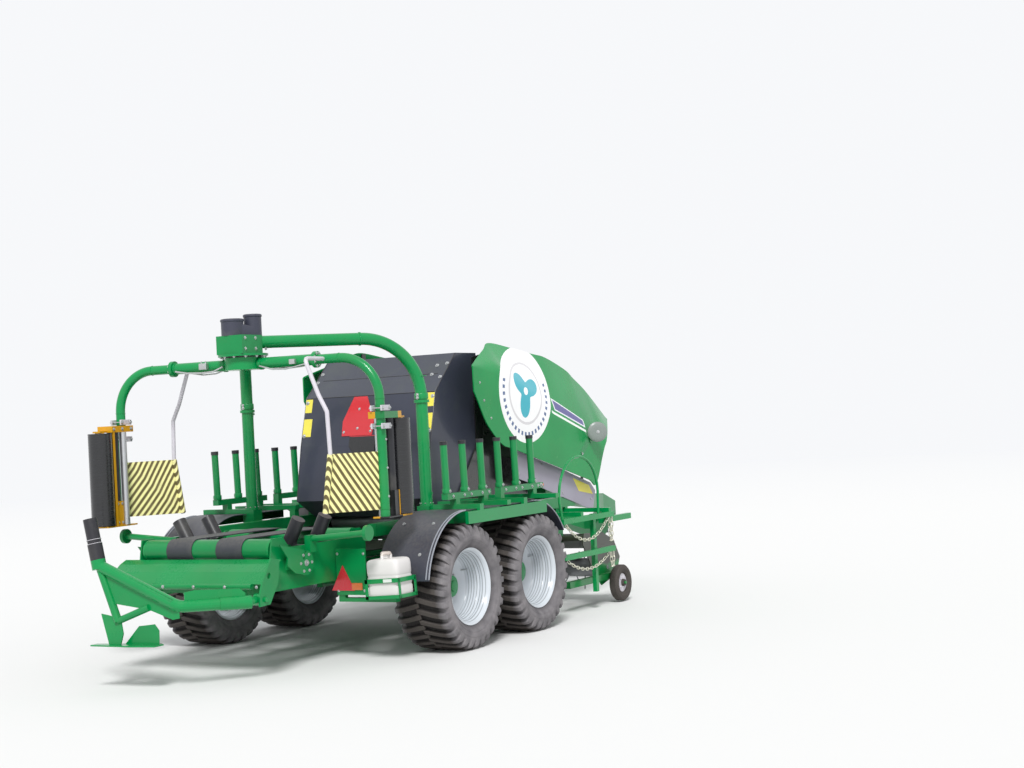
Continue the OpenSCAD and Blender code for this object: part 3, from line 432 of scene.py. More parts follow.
def filmPlastic():
    # stretch film wound on a roll: glossy, with fine level bands that are rougher, and lighter in
    # colour as a painted sheen
    finish = Finish("windingFilm", tint(24, 25, 29), roughness=0.2, coat=0.5, coatRoughness=0.2)
    bands = finish.noise(40, detail=5, stretch=(0.3, 0.3, 9))
    finish.put("Roughness", 0.16 + bands.fade(0.3, 0.8) * 0.3)
    # the lighter bands in the colour are a painted sheen
    finish.put("Base Color", finish.mix(bands.fade(0.55, 0.9), tint(22, 23, 26), tint(52, 54, 60)))
    finish.bump(bands, 0.2, 0.001)
    return finish


def reflector(name, color):
    # reflecting sheet or lens with a small cell pattern
    finish = Finish(name, color, roughness=0.25, coat=0.5, coatRoughness=0.1)
    cells = finish.node("ShaderNodeTexVoronoi", output="Distance", values={
        "Vector": finish.place(), "Scale": 160.0})
    finish.put("Base Color", finish.mix(cells.fade(0.0, 0.7), color, scaled(color, 0.78)))
    finish.put("Roughness", 0.2 + cells * 0.2)
    return finish


# Places on the parts that are painted in two tints, in the frame's own axes
boardFoot = {"top": 1.758, "tint": (26, 26, 28)}
thinRoller = {"along": 1.143, "across": 0.075, "reach": 0.036, "tint": (205, 207, 210)}
# the darker rings in the rim's deep well are painted shade
rimLook = {"ringPitch": 0.024, "well": (0.248, 0.256), "wellSide": 0.19, "ringShadeTint": (104, 108, 112),
           "dishDirt": (0.245, 0.1), "dishTint": (120, 124, 126)}
dispenserLook = {"deep": 0.02, "across": 0.18, "gearBox": 1.88, "troughTint": (30, 31, 34),
                 "boxTint": (14, 120, 60)}
railLens = {"rear": 0.2185, "foot": 1.2, "top": 1.27, "tint": (222, 118, 62)}
pickupStain = {"from": 0.40, "full": 0.44, "sway": 0.08, "tint": (50, 55, 42)}
canLook = {"water": (0.702, 0.698), "waterTint": (186, 186, 182), "cap": 0.8385,
           "capTint": (214, 204, 196)}


def warningPaint():
    # red board above, plain black foot below
    finish = reflector("warningBoard", tint(222, 46, 56))
    foot = finish.axes()[2] < boardFoot["top"]
    finish.put("Base Color", finish.mix(foot, finish.painted(), tint(*boardFoot["tint"])))
    return finish


def rollerPaint():
    # the thin roller of each dispenser is bright aluminium, the thick one dark rubber
    finish = plastic("stretchRubber", tint(36, 37, 42), roughness=0.3, dust=0.1)
    x, y = finish.axes()[:2]
    near = []
    for turn in armTurns.values():
        spot = armPoint(turn, thinRoller["along"], thinRoller["across"], 0.0)
        reach = ((x - spot.x) * (x - spot.x) + (y - spot.y) * (y - spot.y)).root()
        near.append(reach < thinRoller["reach"])
    bright = near[0] + near[1]
    finish.put("Base Color", finish.mix(bright, finish.painted(), tint(*thinRoller["tint"])))
    finish.put("Metallic", bright * 0.9)
    return finish


def rimPaint():
    # silver paint, with painted shade in the rings of the deep well
    finish = dustyPaint("silverPaint", tint(206, 212, 218), roughness=0.28, coat=0.35, dust=0.1,
                        dustColor=(150, 145, 130))
    x, y, z = finish.axes()
    out = abs(y) - machine["tyreSide"]
    reach = axleReach(x, z)
    steps = out * (2 * math.pi / rimLook["ringPitch"])
    wave = finish.node("ShaderNodeMath", {"operation": "SINE"}, {0: steps})
    well = reach.fade(*rimLook["well"]) * (out < rimLook["wellSide"])
    # painted shade in the grooves of the deep well, made uneven by noise
    groove = wave.fade(0.35, 0.9) * well * (0.45 + finish.noise(5, detail=4) * 0.4)
    color = finish.mix(groove, finish.painted(), tint(*rimLook["ringShadeTint"]))
    dirt = reach.fade(*rimLook["dishDirt"]) * 0.35
    finish.put("Base Color", finish.mix(dirt, color, tint(*rimLook["dishTint"])))
    return finish


def dispenserPaint():
    # yellow on the sides that face inward, green and black on the backs
    finish = dustyPaint("dispenserPaint", tint(212, 156, 18), roughness=0.3, coat=0.4, dust=0.12)
    x, y, z = finish.axes()
    outward, across = armPlace(x, y)
    deep = abs(outward) > machine["armRadius"] - dispenserLook["deep"]
    back = deep * (across < dispenserLook["across"])
    dark = finish.mix(z > dispenserLook["gearBox"], tint(*dispenserLook["troughTint"]),
                      tint(*dispenserLook["boxTint"]))
    finish.put("Base Color", finish.mix(back, finish.painted(), dark))
    return finish


def lampedGreen():
    # green paint, with an amber lens at the front end of each rail
    finish = dustyPaint("rackPaint", green, dust=0.22, spots=0.6)
    x, y, z = finish.axes()
    lens = (x > railLens["rear"]) * (z > railLens["foot"]) * (z < railLens["top"])
    finish.put("Base Color", finish.mix(lens, finish.painted(), tint(*railLens["tint"])))
    return finish


def pickupPaint():
    # green at the foot, worn and stained olive above
    finish = dustyPaint("pickupPaint", tint(0, 128, 58), dust=0.25, spots=0.6)
    height = finish.noise(7, detail=5) * pickupStain["sway"] + finish.axes()[2]
    stained = height.fade(pickupStain["from"], pickupStain["full"])
    finish.put("Base Color", finish.mix(stained, finish.painted(), tint(*pickupStain["tint"])))
    return finish


def canisterPlastic():
    # translucent milky canister: a grey cap, and water inside to two thirds
    finish = plastic("canisterPlastic", tint(222, 219, 217), roughness=0.38, dust=0.3, grain=300)
    z = finish.axes()[2]
    wet = z.fade(*canLook["water"]) * 0.3
    color = finish.mix(wet, finish.painted(), tint(*canLook["waterTint"]))
    finish.put("Base Color", finish.mix(z > canLook["cap"], color, tint(*canLook["capTint"])))
    return finish


# A cover's artwork, and a painted highlight along its crease: places along the machine and up, and
# heights over the crease
coverArt = {
    "side": 0.93,
    "crease": ((0.05, 2.32), (1.06, 1.89)),
    "creaseFall": (0.4257, 0.3045),
    "creaseTop": 2.323,
    "inwardUp": 0.28,       # what the shoulder's way inward adds to the height and the length
    "inwardAlong": 1.1,
    "disc": (0.535, 2.095),
    "discSize": (0.50, 0.485),
    "discTint": (248, 248, 248),
    # rings as shares of the disc
    "circle": (0.60, 0.65),
    "circleTint": (216, 214, 216),
    "marks": (0.79, 0.87),
    "markCount": 40,
    "markTop": 0.25,
    "markTint": (92, 112, 150),
    "leaves": 3,
    "leafTurn": 0.6,
    "leafReach": (0.36, 0.16),
    "leafHole": 0.08,
    "leafTint": (60, 176, 192),
    # where the white line runs: a painted highlight along the crease; the stripes taper over the same
    # stretch
    "line": (1.03, 1.72),
    "highlightHeight": (-0.022, 0.004),
    "highlightTint": (240, 246, 240),
    # place along, foot, top and tint of the stripe and of its core
    "stripes": ((1.10, 1.72, 0.03, 0.165, (236, 238, 244)), (1.12, 1.70, 0.045, 0.15, (92, 88, 146))),
    "stripeTaper": 0.05,
}


def within(value, limits):
    return (value > limits[0]) * (value < limits[1])


def coverPaint():
    # roof paint with a plain white disc and its ring of ticks, a thin white line along the crease that
    # is a painted highlight, and a violet stripe.
    # Heights count from the crease: down the side below it, up the shoulder above it.
    art = coverArt
    finish = dustyPaint("coverPaint", tint(0, 146, 74), roughness=0.24, coat=0.2, dust=0.05,
                        peel=0.02, specular=0.2)
    color = finish.painted()
    x, y, z = finish.axes()
    looks = finish.looks()
    outer = (looks[1] * ((y > 0) * 2 - 1) + looks[2] * 0.5) > 0.1
    rear, fore = art["crease"]
    rearFall, foreFall = art["creaseFall"]
    crease = (rear[1] - (x - rear[0]) * rearFall).atLeast(fore[1] - (x - fore[0]) * foreFall)
    crease = crease.atMost(art["creaseTop"])
    inward = (art["side"] - abs(y)).atLeast(0)
    reach = z - crease + inward * art["inwardUp"]
    across = (x - inward * art["inwardAlong"] - art["disc"][0]) / art["discSize"][0]
    upright = (crease + reach - art["disc"][1]) / art["discSize"][1]
    ring = (across * across + upright * upright).root()
    turn = finish.node("ShaderNodeMath", {"operation": "ARCTAN2"}, {0: upright, 1: across})
    disc = (ring < 1.0) * outer
    ticks = (turn * (art["markCount"] / (2 * math.pi)) + art["markCount"]).part()
    marks = within(ring, art["marks"]) * (ticks < 0.5) * (upright < art["markTop"])
    wave = turn * art["leaves"] + art["leafTurn"]
    leaf = finish.node("ShaderNodeMath", {"operation": "SINE"}, {0: wave})
    leafMiddle, leafDepth = art["leafReach"]
    flower = (ring < leafMiddle + leaf * leafDepth) * (ring > art["leafHole"]) * outer
    color = finish.mix(disc, color, tint(*art["discTint"]))
    color = finish.mix(disc * within(ring, art["circle"]), color, tint(*art["circleTint"]))
    color = finish.mix(disc * marks, color, tint(*art["markTint"]))
    color = finish.mix(flower, color, tint(*art["leafTint"]))
    # painted highlight: a thin white line along the crease
    line = within(reach, art["highlightHeight"]) * within(x, art["line"]) * (1 - disc) * outer
    color = finish.mix(line, color, tint(*art["highlightTint"]))
    share = (x - art["line"][0]) / (art["line"][1] - art["line"][0])
    for start, end, foot, top, stripeTint in art["stripes"]:
        band = (reach > foot) * (reach < top - share * art["stripeTaper"])
        band = band * within(x, (start, end)) * outer
        color = finish.mix(band, color, tint(*stripeTint))
    finish.put("Base Color", color)
    return finish


finishes.update({
    "tyre": tyreRubber(),
    "striped": stripedSheet(),
    "film": filmPlastic(),
    "red": reflector("redReflector", tint(216, 44, 58)),
    "warning": warningPaint(),
    "amber": reflector("amberLens", tint(225, 120, 60)),
    "white": canisterPlastic(),
    "rollers": rollerPaint(),
    "rim": rimPaint(),
    "pickup": pickupPaint(),
    "yellow": dispenserPaint(),
    "rack": lampedGreen(),
    "cover": coverPaint(),
})
print("finishes made:", len(finishes))

nodeFinish = {
    "green": ("main_frame", "drawbar", "bogies", "jack_body", "gearbox", "rotor_head", "table_frame",
              "table_rollers", "light_boards", "film_cutters"),
    "greenClean": ("arch", "rotor_arms", "tipper", "side_guards", "apron"),
    "rack": ("film_racks",),
    "cover": ("cover_r", "cover_l"),
    "blueGrey": ("tailgate",),
    "black": ("chamber_walls", "net_box", "net_lid", "bale_chute"),
    "olive": ("intake_plates",),
    "pickup": ("pickup_frame",),
    "violetGrey": ("feeder_plates", "nose_discs"),
    "guardBlack": ("mudguards",),
    "capBlack": ("post_caps", "guide_rollers", "tipper_post"),
    "rollers": ("stretch_rollers",),
    "headGrey": ("head_cover",),
    "white": ("water_can",),
    "rim": ("rim_fr", "rim_fl", "rim_rr", "rim_rl"),
    "steel": ("press_rollers", "feed_rotor", "gate_rollers", "pickup_reel"),
    "zinc": ("jack_leg",),
    "forged": ("hitch_eye", "slew_ring"),
    "chain": ("guard_chains",),
    "yellow": ("dispensers",),
    "barGrey": ("safety_bars",),
    "belt": ("table_belts",),
    "tyre": ("tyre_fr", "tyre_fl", "tyre_rr", "tyre_rl", "gauge_wheel_r", "gauge_wheel_l"),
    "striped": ("striped_sheets",),
    "film": ("film_roll_r", "film_roll_l"),
    "red": ("reflectors",),
    "warning": ("warning_plate",),
}


def smoothFlat(piece, angle=32):
    # smooth shading with sharp edges kept, without touching a point
    bm = bmesh.new()
    bm.from_mesh(piece.data)
    flags = [edge.is_manifold and edge.calc_face_angle(0.0) < math.radians(angle) for edge in bm.edges]
    bm.free()
    for polygon in piece.data.polygons:
        polygon.use_smooth = True
    for edge, soft in zip(piece.data.edges, flags):
        edge.use_edge_sharp = not soft


def paintNodes():
    for finish, names in nodeFinish.items():
        for name in names:
            slots = nodes[name].data.materials
            slots.clear()
            slots.append(finishes[finish].material)
            smoothFlat(nodes[name])


paintNodes()
print("nodes painted")


def addPiece(name, bm, finish, body, smooth=True, angle=32):
    mesh = bpy.data.meshes.new(name)
    bmesh.ops.recalc_face_normals(bm, faces=bm.faces)
    bm.to_mesh(mesh)
    bm.free()
    piece = bpy.data.objects.new(name, mesh)
    bpy.context.scene.collection.objects.link(piece)
    mesh.materials.append(finishes[finish].material)
    if smooth:
        smoothFlat(piece, angle)
    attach(piece, body)
    return piece


def aimed(direction):
    # a turn that takes +Z to a direction
    return Vector((0, 0, 1)).rotation_difference(Vector(direction).normalized()).to_matrix().to_4x4()


def addRod(bm, start, end, radius, sides=20):
    start = Vector(start)
    way = Vector(end) - start
    made = bmesh.ops.create_cone(bm, cap_ends=True, segments=sides, radius1=radius, radius2=radius,
                                 depth=way.length)
    move = Matrix.Translation(start + way / 2) @ aimed(way)
    bmesh.ops.transform(bm, matrix=move, verts=made["verts"])


# A washer, a six-sided head and the end of the thread: radius, foot and top as shares of a bolt's
# size, and the sides
boltForm = ((0.95, -0.1, 0.15, 20), (0.58, 0.15, 0.6, 6), (0.3, 0.6, 0.8, 12))


def addBolt(bm, place, direction, size=0.02):
    place = Vector(place)
    way = Vector(direction).normalized() * size
    for radius, low, high, sides in boltForm:
        addRod(bm, place + way * low, place + way * high, size * radius, sides)


alongX, alongY, alongZ = Vector((1, 0, 0)), Vector((0, 1, 0)), Vector((0, 0, 1))


def boltRing(bm, middle, axes, circle, count, direction, size, shift=0.5):
    # bolts on a circle that lies along two axes
    for k in range(count):
        turn = 2 * math.pi * (k + shift) / count
        spot = Vector(middle) + circle * (axes[0] * math.cos(turn) + axes[1] * math.sin(turn))
        addBolt(bm, spot, direction, size)


def mirrored(place, side):
    # a place on the left as it is, and on the right with its side changed
    return Vector((place[0], side * place[1], place[2]))


def addBox(bm, low, high, bevel, turn=None):
    # eased in a mesh of its own, and added point by point in order of place: the bevel's own order
    # is not the same on each run
    size = Vector(high) - Vector(low)
    middle = (Vector(high) + Vector(low)) / 2
    move = Matrix.Translation(middle) @ Matrix.Diagonal((*size, 1))
    box = bmesh.new()
    bmesh.ops.create_cube(box, size=1.0, matrix=move)
    bmesh.ops.bevel(box, geom=box.edges[:], offset=bevel, segments=3, affect="EDGES", profile=0.6)
    order = sorted(box.verts, key=lambda vert: [round(c, 6) for c in vert.co])
    rank = {vert: i for i, vert in enumerate(order)}
    made = [bm.verts.new(turn @ vert.co if turn else vert.co) for vert in order]
    faces = []
    for face in box.faces:
        ranks = [rank[vert] for vert in face.verts]
        first = ranks.index(min(ranks))
        faces.append(ranks[first:] + ranks[:first])
    for ranks in sorted(faces):
        bm.faces.new([made[i] for i in ranks])
    box.free()


def addTube(bm, points, radius, sides=12, closed=False):
    # a round bar along points, with rings square to its way
    points = [Vector(p) for p in points]
    count = len(points)
    rings = []
    side = None
    for i, point in enumerate(points):
        after = points[(i + 1) % count] if closed else points[min(i + 1, count - 1)]
        before = points[i - 1] if closed else points[max(i - 1, 0)]
        way = (after - before).normalized()
        if side is None:
            side = way.orthogonal().normalized()
        side = (side - way * side.dot(way)).normalized()
        other = way.cross(side)
        rings.append([bm.verts.new(point + radius * (side * math.cos(2 * math.pi * k / sides)
                      + other * math.sin(2 * math.pi * k / sides))) for k in range(sides)])
    for i in range(count if closed else count - 1):
        low, high = rings[i], rings[(i + 1) % count]
        for k in range(sides):
            bm.faces.new((low[k], low[(k + 1) % sides], high[(k + 1) % sides], high[k]))
    if not closed:
        bm.faces.new(rings[0])
        bm.faces.new(rings[-1])


def revolve(bm, profile, place, segments=96, axis="Y"):
    # a profile of (radius, height) turned once round an axis through a place
    rings = []
    for k in range(segments):
        angle = 2 * math.pi * k / segments
        rings.append([])
        for radius, height in profile:
            first, second = radius * math.cos(angle), radius * math.sin(angle)
            spot = Vector((first, height, second) if axis == "Y" else (first, second, height))
            rings[-1].append(bm.verts.new(Vector(place) + spot))
    for k in range(segments):
        low, high = rings[k], rings[(k + 1) % segments]
        for i in range(len(profile)):
            after = (i + 1) % len(profile)
            bm.faces.new((low[i], low[after], high[after], high[i]))
    return [vert for ring in rings for vert in ring]


def addTurned(bm, profile, middle, way, segments):
    # the same round a way of its own, which starts at a middle
    verts = revolve(bm, profile, (0, 0, 0), segments, axis="Z")
    bmesh.ops.transform(bm, matrix=Matrix.Translation(middle) @ aimed(way), verts=verts)


def addRing(bm, middle, way, inner, outer, length, segments=40):
    # a ring on a tube, its outer edges eased
    ease = 0.0015
    section = [(inner, 0.0), (inner, length), (outer - ease, length), (outer, length - ease),
               (outer, ease), (outer - ease, 0.0)]
    addTurned(bm, section, middle, way, segments)


def loft(bm, rings):
    # a closed skin over rings of one number of points
    made = [[bm.verts.new(p) for p in ring] for ring in rings]
    for low, high in zip(made, made[1:]):
        for k in range(len(low)):
            bm.faces.new((low[k], low[(k + 1) % len(low)], high[(k + 1) % len(low)], high[k]))
    bm.faces.new(made[0])
    bm.faces.new(made[-1])


def addSheet(bm, corners, thickness, flipped):
    # a flat plate through corners, with its own thickness on the outer side
    corners = [Vector(c) for c in corners]
    if flipped:
        corners.reverse()
    out = (corners[1] - corners[0]).cross(corners[2] - corners[1]).normalized() * thickness
    loft(bm, [corners, [c + out for c in corners]])


# Road tyres: a carcass and two rows of slanted lugs, a row half a pitch on from the other
tyre = {
    "lugs": 32,
    "lugDepth": 0.03,
    "lugShare": 0.43,
    "segments": 128,
    "bead": 0.3046,
    # the wall from the bead up: height over the bead, and depth from the tyre's side
    "wall": ((0.0, 0.060), (0.012, 0.047), (0.025, 0.033), (0.032, 0.031), (0.045, 0.018),
             (0.060, 0.008), (0.066, 0.0085), (0.070, 0.0045), (0.085, 0.001), (0.1, 0.0005),
             (0.105, 0.004), (0.112, 0.0045)),
    # the shoulder and the tread: height over the tread's ground, and depth from the side
    "shoulder": ((-0.052, 0.007), (-0.04, 0.012), (-0.02, 0.028), (-0.008, 0.05), (0.0, 0.09),
                 (0.001, 0.17)),
    # the hollow inside: the same two, from the bead or the tread's ground
    "beadHollow": (0.03, 0.09),
    "treadHollow": (-0.04, 0.05),
    "crownHollow": -0.02,
    # sections of a lug: distance from the middle, way round, share of the width, top below the full
    # radius and foot below the tread's ground
    "lugNose": ((-0.013, -0.002, 0.86, 0.004, 0.01), (-0.010, 0.0, 1.0, 0.0, 0.01),
                (0.06, 0.016, 1.0, 0.0, 0.01), (0.125, 0.032, 1.0, 0.0, 0.01)),
    # the same over the shoulder, where the first is the depth from the side
    "lugEnd": ((0.060, 0.044, 1.06, 0.005, 0.016), (0.030, 0.051, 1.1, 0.016, 0.03),
               (0.014, 0.055, 1.14, 0.029, 0.045), (0.0045, 0.057, 1.16, 0.060, 0.066),
               (0.004, 0.058, 1.12, 0.078, 0.072)),
    "lugEase": 0.005,
}


def makeTyre(node, body, x, y):
    tread = machine["tyreRadius"] - tyre["lugDepth"]
    half = machine["tyreWidth"] / 2
    outer = [(tyre["bead"] + up, half - deep) for up, deep in tyre["wall"]]
    outer += [(tread + up, half - deep) for up, deep in tyre["shoulder"]]
    outer.append((outer[-1][0], 0.0))
    inner = [(r, -h) for r, h in reversed(outer[:-1])]
    hollow = [(tyre["bead"] + tyre["beadHollow"][0], half - tyre["beadHollow"][1]),
              (tread + tyre["treadHollow"][0], half - tyre["treadHollow"][1])]
    hollow = [(r, -h) for r, h in hollow] + [(tread + tyre["crownHollow"], 0.0)] + hollow[::-1]
    bm = bmesh.new()
    revolve(bm, outer + inner + hollow, (x, y, machine["tyreRadius"]), segments=tyre["segments"])
    for side, shift in ((1, 0.0), (-1, 0.5)):
        for k in range(tyre["lugs"]):
            addLug(bm, x, y, side, (k + shift) * 2 * math.pi / tyre["lugs"])
    piece = addPiece("tread_" + node, bm, "tyre", body)
    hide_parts(node)


def addLug(bm, x, y, side, angle):
    # one lug: a straight nose by the middle, then a slanted bar down over the shoulder
    full = machine["tyreRadius"]
    half = machine["tyreWidth"] / 2
    tread = full - tyre["lugDepth"]
    ease = tyre["lugEase"]
    wide = tyre["lugShare"] * 2 * math.pi * tread / tyre["lugs"]
    rows = list(tyre["lugNose"]) + [(half - deep, *rest) for deep, *rest in tyre["lugEnd"]]
    rings = []
    for height, way, share, drop, sink in rows:
        centre = angle + way / tread
        spread = wide * share / 2 / tread
        soft = ease / tread
        top = full - drop
        foot = min(tread - sink, top - 0.002)
        ring = []
        for turn, r in ((-spread - soft, foot), (-spread, top - ease), (-spread + soft, top),
                        (spread - soft, top), (spread, top - ease), (spread + soft, foot)):
            r = max(r, foot)
            ring.append((x + r * math.cos(centre + turn), y + side * height,
                         full + r * math.sin(centre + turn)))
        rings.append(ring)
    loft(bm, rings)


wheels = {
    "fr": (machine["axles"][0], -machine["tyreSide"]),
    "fl": (machine["axles"][0], machine["tyreSide"]),
    "rr": (machine["axles"][1], -machine["tyreSide"]),
    "rl": (machine["axles"][1], machine["tyreSide"]),
}

# Rims: radius and distance out from the tyre's middle, once round the section
rim = {
    "section": ((0.0405, -0.130), (0.110, -0.130), (0.110, -0.046), (0.150, -0.044), (0.215, -0.026),
                (0.235, -0.034), (0.2702, -0.060), (0.2702, -0.150), (0.2922, -0.195), (0.3042, -0.192),
                (0.3042, -0.184), (0.3002, -0.184), (0.2842, -0.130), (0.2842, 0.130), (0.3002, 0.184),
                (0.3040, 0.188), (0.3085, 0.1955), (0.3130, 0.2015), (0.3140, 0.2055), (0.3110, 0.2080),
                (0.3050, 0.2050), (0.2985, 0.1990), (0.2925, 0.1925), (0.2895, 0.184), (0.2835, 0.170),
                (0.2800, 0.166), (0.2780, 0.152), (0.2745, 0.149), (0.2735, 0.132), (0.2760, 0.129),
                (0.2755, 0.122), (0.2720, 0.119), (0.2700, 0.104), (0.2650, 0.099), (0.2640, 0.082),
                (0.2600, 0.078), (0.2595, 0.050), (0.2570, 0.046), (0.2568, 0.020), (0.2500, 0.004),
                (0.2350, -0.006), (0.2150, -0.008), (0.1900, -0.015), (0.1500, -0.026),
                (0.0960, -0.028), (0.0900, 0.026), (0.0405, 0.026)),
    "segments": 112,
    # hub cap in the frame's colour
    "cap": ((0.001, 0.052), (0.03, 0.052), (0.042, 0.048), (0.046, 0.034), (0.078, 0.033),
            (0.086, 0.030), (0.0885, 0.0262), (0.001, 0.0262)),
    "nuts": 10,
    "nutCircle": 0.124,
    "nutFoot": -0.0275,
    "nutSize": 0.027,
    "valve": ((0.2, -0.013, 0.11), (0.212, 0.05, 0.118)),
    "valveRadius": 0.006,
}


def makeRim(key, x, y):
    side = 1 if y > 0 else -1
    body = "wheel_" + key
    middle = Vector((x, y, machine["tyreRadius"]))
    bm = bmesh.new()
    revolve(bm, [(r, side * h) for r, h in rim["section"]], middle, segments=rim["segments"])
    piece = addPiece("barrel_" + key, bm, "rim", body, angle=38)
    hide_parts("rim_" + key)
    bm = bmesh.new()
    revolve(bm, [(r, side * h) for r, h in rim["cap"]], middle, segments=48)
    addPiece("hub_" + key, bm, "green", body)
    bm = bmesh.new()
    boltRing(bm, middle + alongY * side * rim["nutFoot"], (alongX, alongZ), rim["nutCircle"],
             rim["nuts"], (0, side, 0), rim["nutSize"], shift=0.0)
    start, end = (middle + mirrored(place, side) for place in rim["valve"])
    addRod(bm, start, end, rim["valveRadius"], sides=10)
    addPiece("nuts_" + key, bm, "zinc", body)


for key, (x, y) in wheels.items():
    makeTyre("tyre_" + key, "wheel_" + key, x, y)
    makeRim(key, x, y)
print("wheels made")

# Gauge wheels of the pick-up
gauge = {
    "place": (1.75, 1.2, 0.185),
    "plate": ((0.0162, 0.0195), (0.034, 0.0225), (0.088, 0.0185), (0.090, 0.0165), (0.0162, 0.0160)),
    "nuts": 4,
    "circle": 0.06,
    "nutFoot": 0.021,
    "nutSize": 0.013,
}


def makeGaugeHubs():
    for side, body in ((-1, "gauge_r"), (1, "gauge_l")):
        middle = mirrored(gauge["place"], side)
        bm = bmesh.new()
        revolve(bm, [(r, side * h) for r, h in gauge["plate"]], middle, segments=40)
        boltRing(bm, middle + alongY * side * gauge["nutFoot"], (alongX, alongZ), gauge["circle"],
                 gauge["nuts"], (0, side, 0), gauge["nutSize"])
        addPiece("gauge_plate_" + body, bm, "barGrey", body)


makeGaugeHubs()

# Pale beads along a mudguard's outer edge, and the bolts that hold its sheet
guard = {
    "bead": 0.006,
    "steps": 20,
    "rows": (1.419, 1.392),
    # the axle, front 0 and rear 1, and degrees round it, up from the front
    "arcs": ((1, 90.5, 169), (0, 32, 89.5)),
    "bolts": ((1, 120), (1, 150), (0, 60)),
    "boltRows": (1.02, 1.3),
    "boltLift": 0.0005,
    "boltSize": 0.015,
}


def guardPoint(axle, degrees, y, lift=0.0):
    # a point over the mudguard's sheet, and the way out from it
    turn = math.radians(degrees)
    out = Vector((math.cos(turn), 0, math.sin(turn)))
    middle = Vector((machine["axles"][axle], y, machine["tyreRadius"]))
    return middle + out * (machine["guardRadius"] + guard["bead"] + lift), out


def makeGuardBeads():
    beads = bmesh.new()
    bolts = bmesh.new()
    for side in (-1, 1):
        for row in guard["rows"]:
            for axle, low, high in guard["arcs"]:
                turns = [low + (high - low) * k / guard["steps"] for k in range(guard["steps"] + 1)]
                line = [guardPoint(axle, turn, side * row)[0] for turn in turns]
                addTube(beads, line, guard["bead"], sides=10)
        for axle, turn in guard["bolts"]:
            for across in guard["boltRows"]:
                spot, out = guardPoint(axle, turn, side * across, guard["boltLift"])
                addBolt(bolts, spot, out, guard["boltSize"])
    addPiece("guard_beads", beads, "bead", "chassis")
    addPiece("guard_bolts", bolts, "zinc", "chassis")


makeGuardBeads()
print("mudguards trimmed")

# Side covers: sections along the machine, each with its place, outer side, lower edge, crease, and
# the shoulder's inner edge and height
coverForm = {
    "out": 0.93,
    "hinge": 0.722,
    "sheet": 0.012,
    "soft": 0.085,
    "steps": 7,
    "bend": (0.0, 0.17, 0.33, 0.5, 0.67, 0.83, 1.0),
    "hem": 0.003,
    "rows": ((-0.400, 0.930, 2.100, 2.325, 0.915, 2.335), (-0.345, 0.930, 2.020, 2.325, 0.900, 2.355),
             (-0.195, 0.930, 1.800, 2.323, 0.850, 2.405), (0.050, 0.930, 1.617, 2.320, 0.775, 2.485),
             (0.240, 0.930, 1.570, 2.246, 0.722, 2.550), (0.640, 0.930, 1.471, 2.072, 0.722, 2.510),
             (1.060, 0.930, 1.366, 1.890, 0.722, 2.455), (1.320, 0.930, 1.301, 1.810, 0.722, 2.420),
             (1.720, 0.930, 1.201, 1.690, 0.722, 2.300), (1.886, 0.930, 1.160, 1.647, 0.722, 2.215),
             (2.150, 0.930, 1.560, 1.580, 0.722, 2.078), (2.560, 0.745, 1.776, 1.786, 0.722, 1.810)),
}


def smoothRow(rows, i, t):
    # a section between two of them, on a smooth curve through all
    a, b, c, d = (rows[max(i - 1, 0)], rows[i], rows[i + 1], rows[min(i + 2, len(rows) - 1)])
    return [0.5 * (2 * q + (r - p) * t + (2 * p - 5 * q + 4 * r - s) * t * t
                   + (3 * q - p - 3 * r + s) * t ** 3) for p, q, r, s in zip(a, b, c, d)]


def makeCover(side, node, body):
    rows, sheet, hem = coverForm["rows"], coverForm["sheet"], coverForm["hem"]
    sections = [smoothRow(rows, i, k / coverForm["steps"]) for i in range(len(rows) - 1)
                for k in range(coverForm["steps"])] + [list(rows[-1])]
    rings = []
    for x, out, foot, crease, top, height in sections:
        # the curve through the rows may pass them a little
        out = min(out, coverForm["out"])
        crease = max(crease, foot + 0.006)
        top = max(top, coverForm["hinge"] + 0.0003)
        over = Vector((top - out, height - crease))
        soft = max(0.001, min(coverForm["soft"], over.length / 2.2, (crease - foot) / 2.2))
        over = over.normalized()
        corner = Vector((out, crease))
        low = corner - Vector((0, soft))
        high = corner + over * soft
        bend = [low.lerp(corner, t).lerp(corner.lerp(high, t), t) for t in coverForm["bend"]]
        edge = Vector((top, height))
        shoulder = high.lerp(edge, 0.5)
        skin = [Vector((out, foot + hem)), Vector((out, foot * 0.5 + low.y * 0.5)), *bend,
                shoulder, edge]
        inside = [Vector((top, height - sheet)), shoulder - Vector((over.y, -over.x)) * sheet,
                  Vector((out - sheet, crease - sheet)), Vector((out - sheet, foot + hem)),
                  Vector((out - sheet + hem, foot)), Vector((out - hem, foot))]
        rings.append([(x, side * p.x, p.y) for p in skin + inside])
    bm = bmesh.new()
    loft(bm, rings)
    piece = addPiece("skin_" + node, bm, "cover", body, angle=40)
    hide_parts(node)


makeCover(-1, "cover_r", "right_cover")
makeCover(1, "cover_l", "left_cover")

# What sits on the covers: a round dish on a stalk, a flat bar, and small bolts at the top rear
latch = {
    "foot": (1.80, 0.93, 1.59),
    "footRadius": 0.035,
    "footThick": 0.008,
    "stalk": 0.012,
    "stalkBend": (0.03, 0.02),
    "middle": (1.785, 1.015, 1.668),
    "face": (-0.72, 0.69, 0.0),
    "dish": ((0.0015, 0.016), (0.03, 0.020), (0.072, 0.017), (0.092, 0.010), (0.1, 0.004), (0.1, 0.0),
             (0.0015, 0.0)),
    "bar": ((1.76, 1.60), (1.57, 1.448)),
    "barWide": 0.036,
    "barThick": 0.006,
    "lift": 0.0004,
    "dishBolt": 0.0195,
    "barBolt": (0.02, 0.0066, 0.017),
    "bolts": ((-0.30, 2.18), (-0.24, 2.02), (-0.13, 1.86)),
}


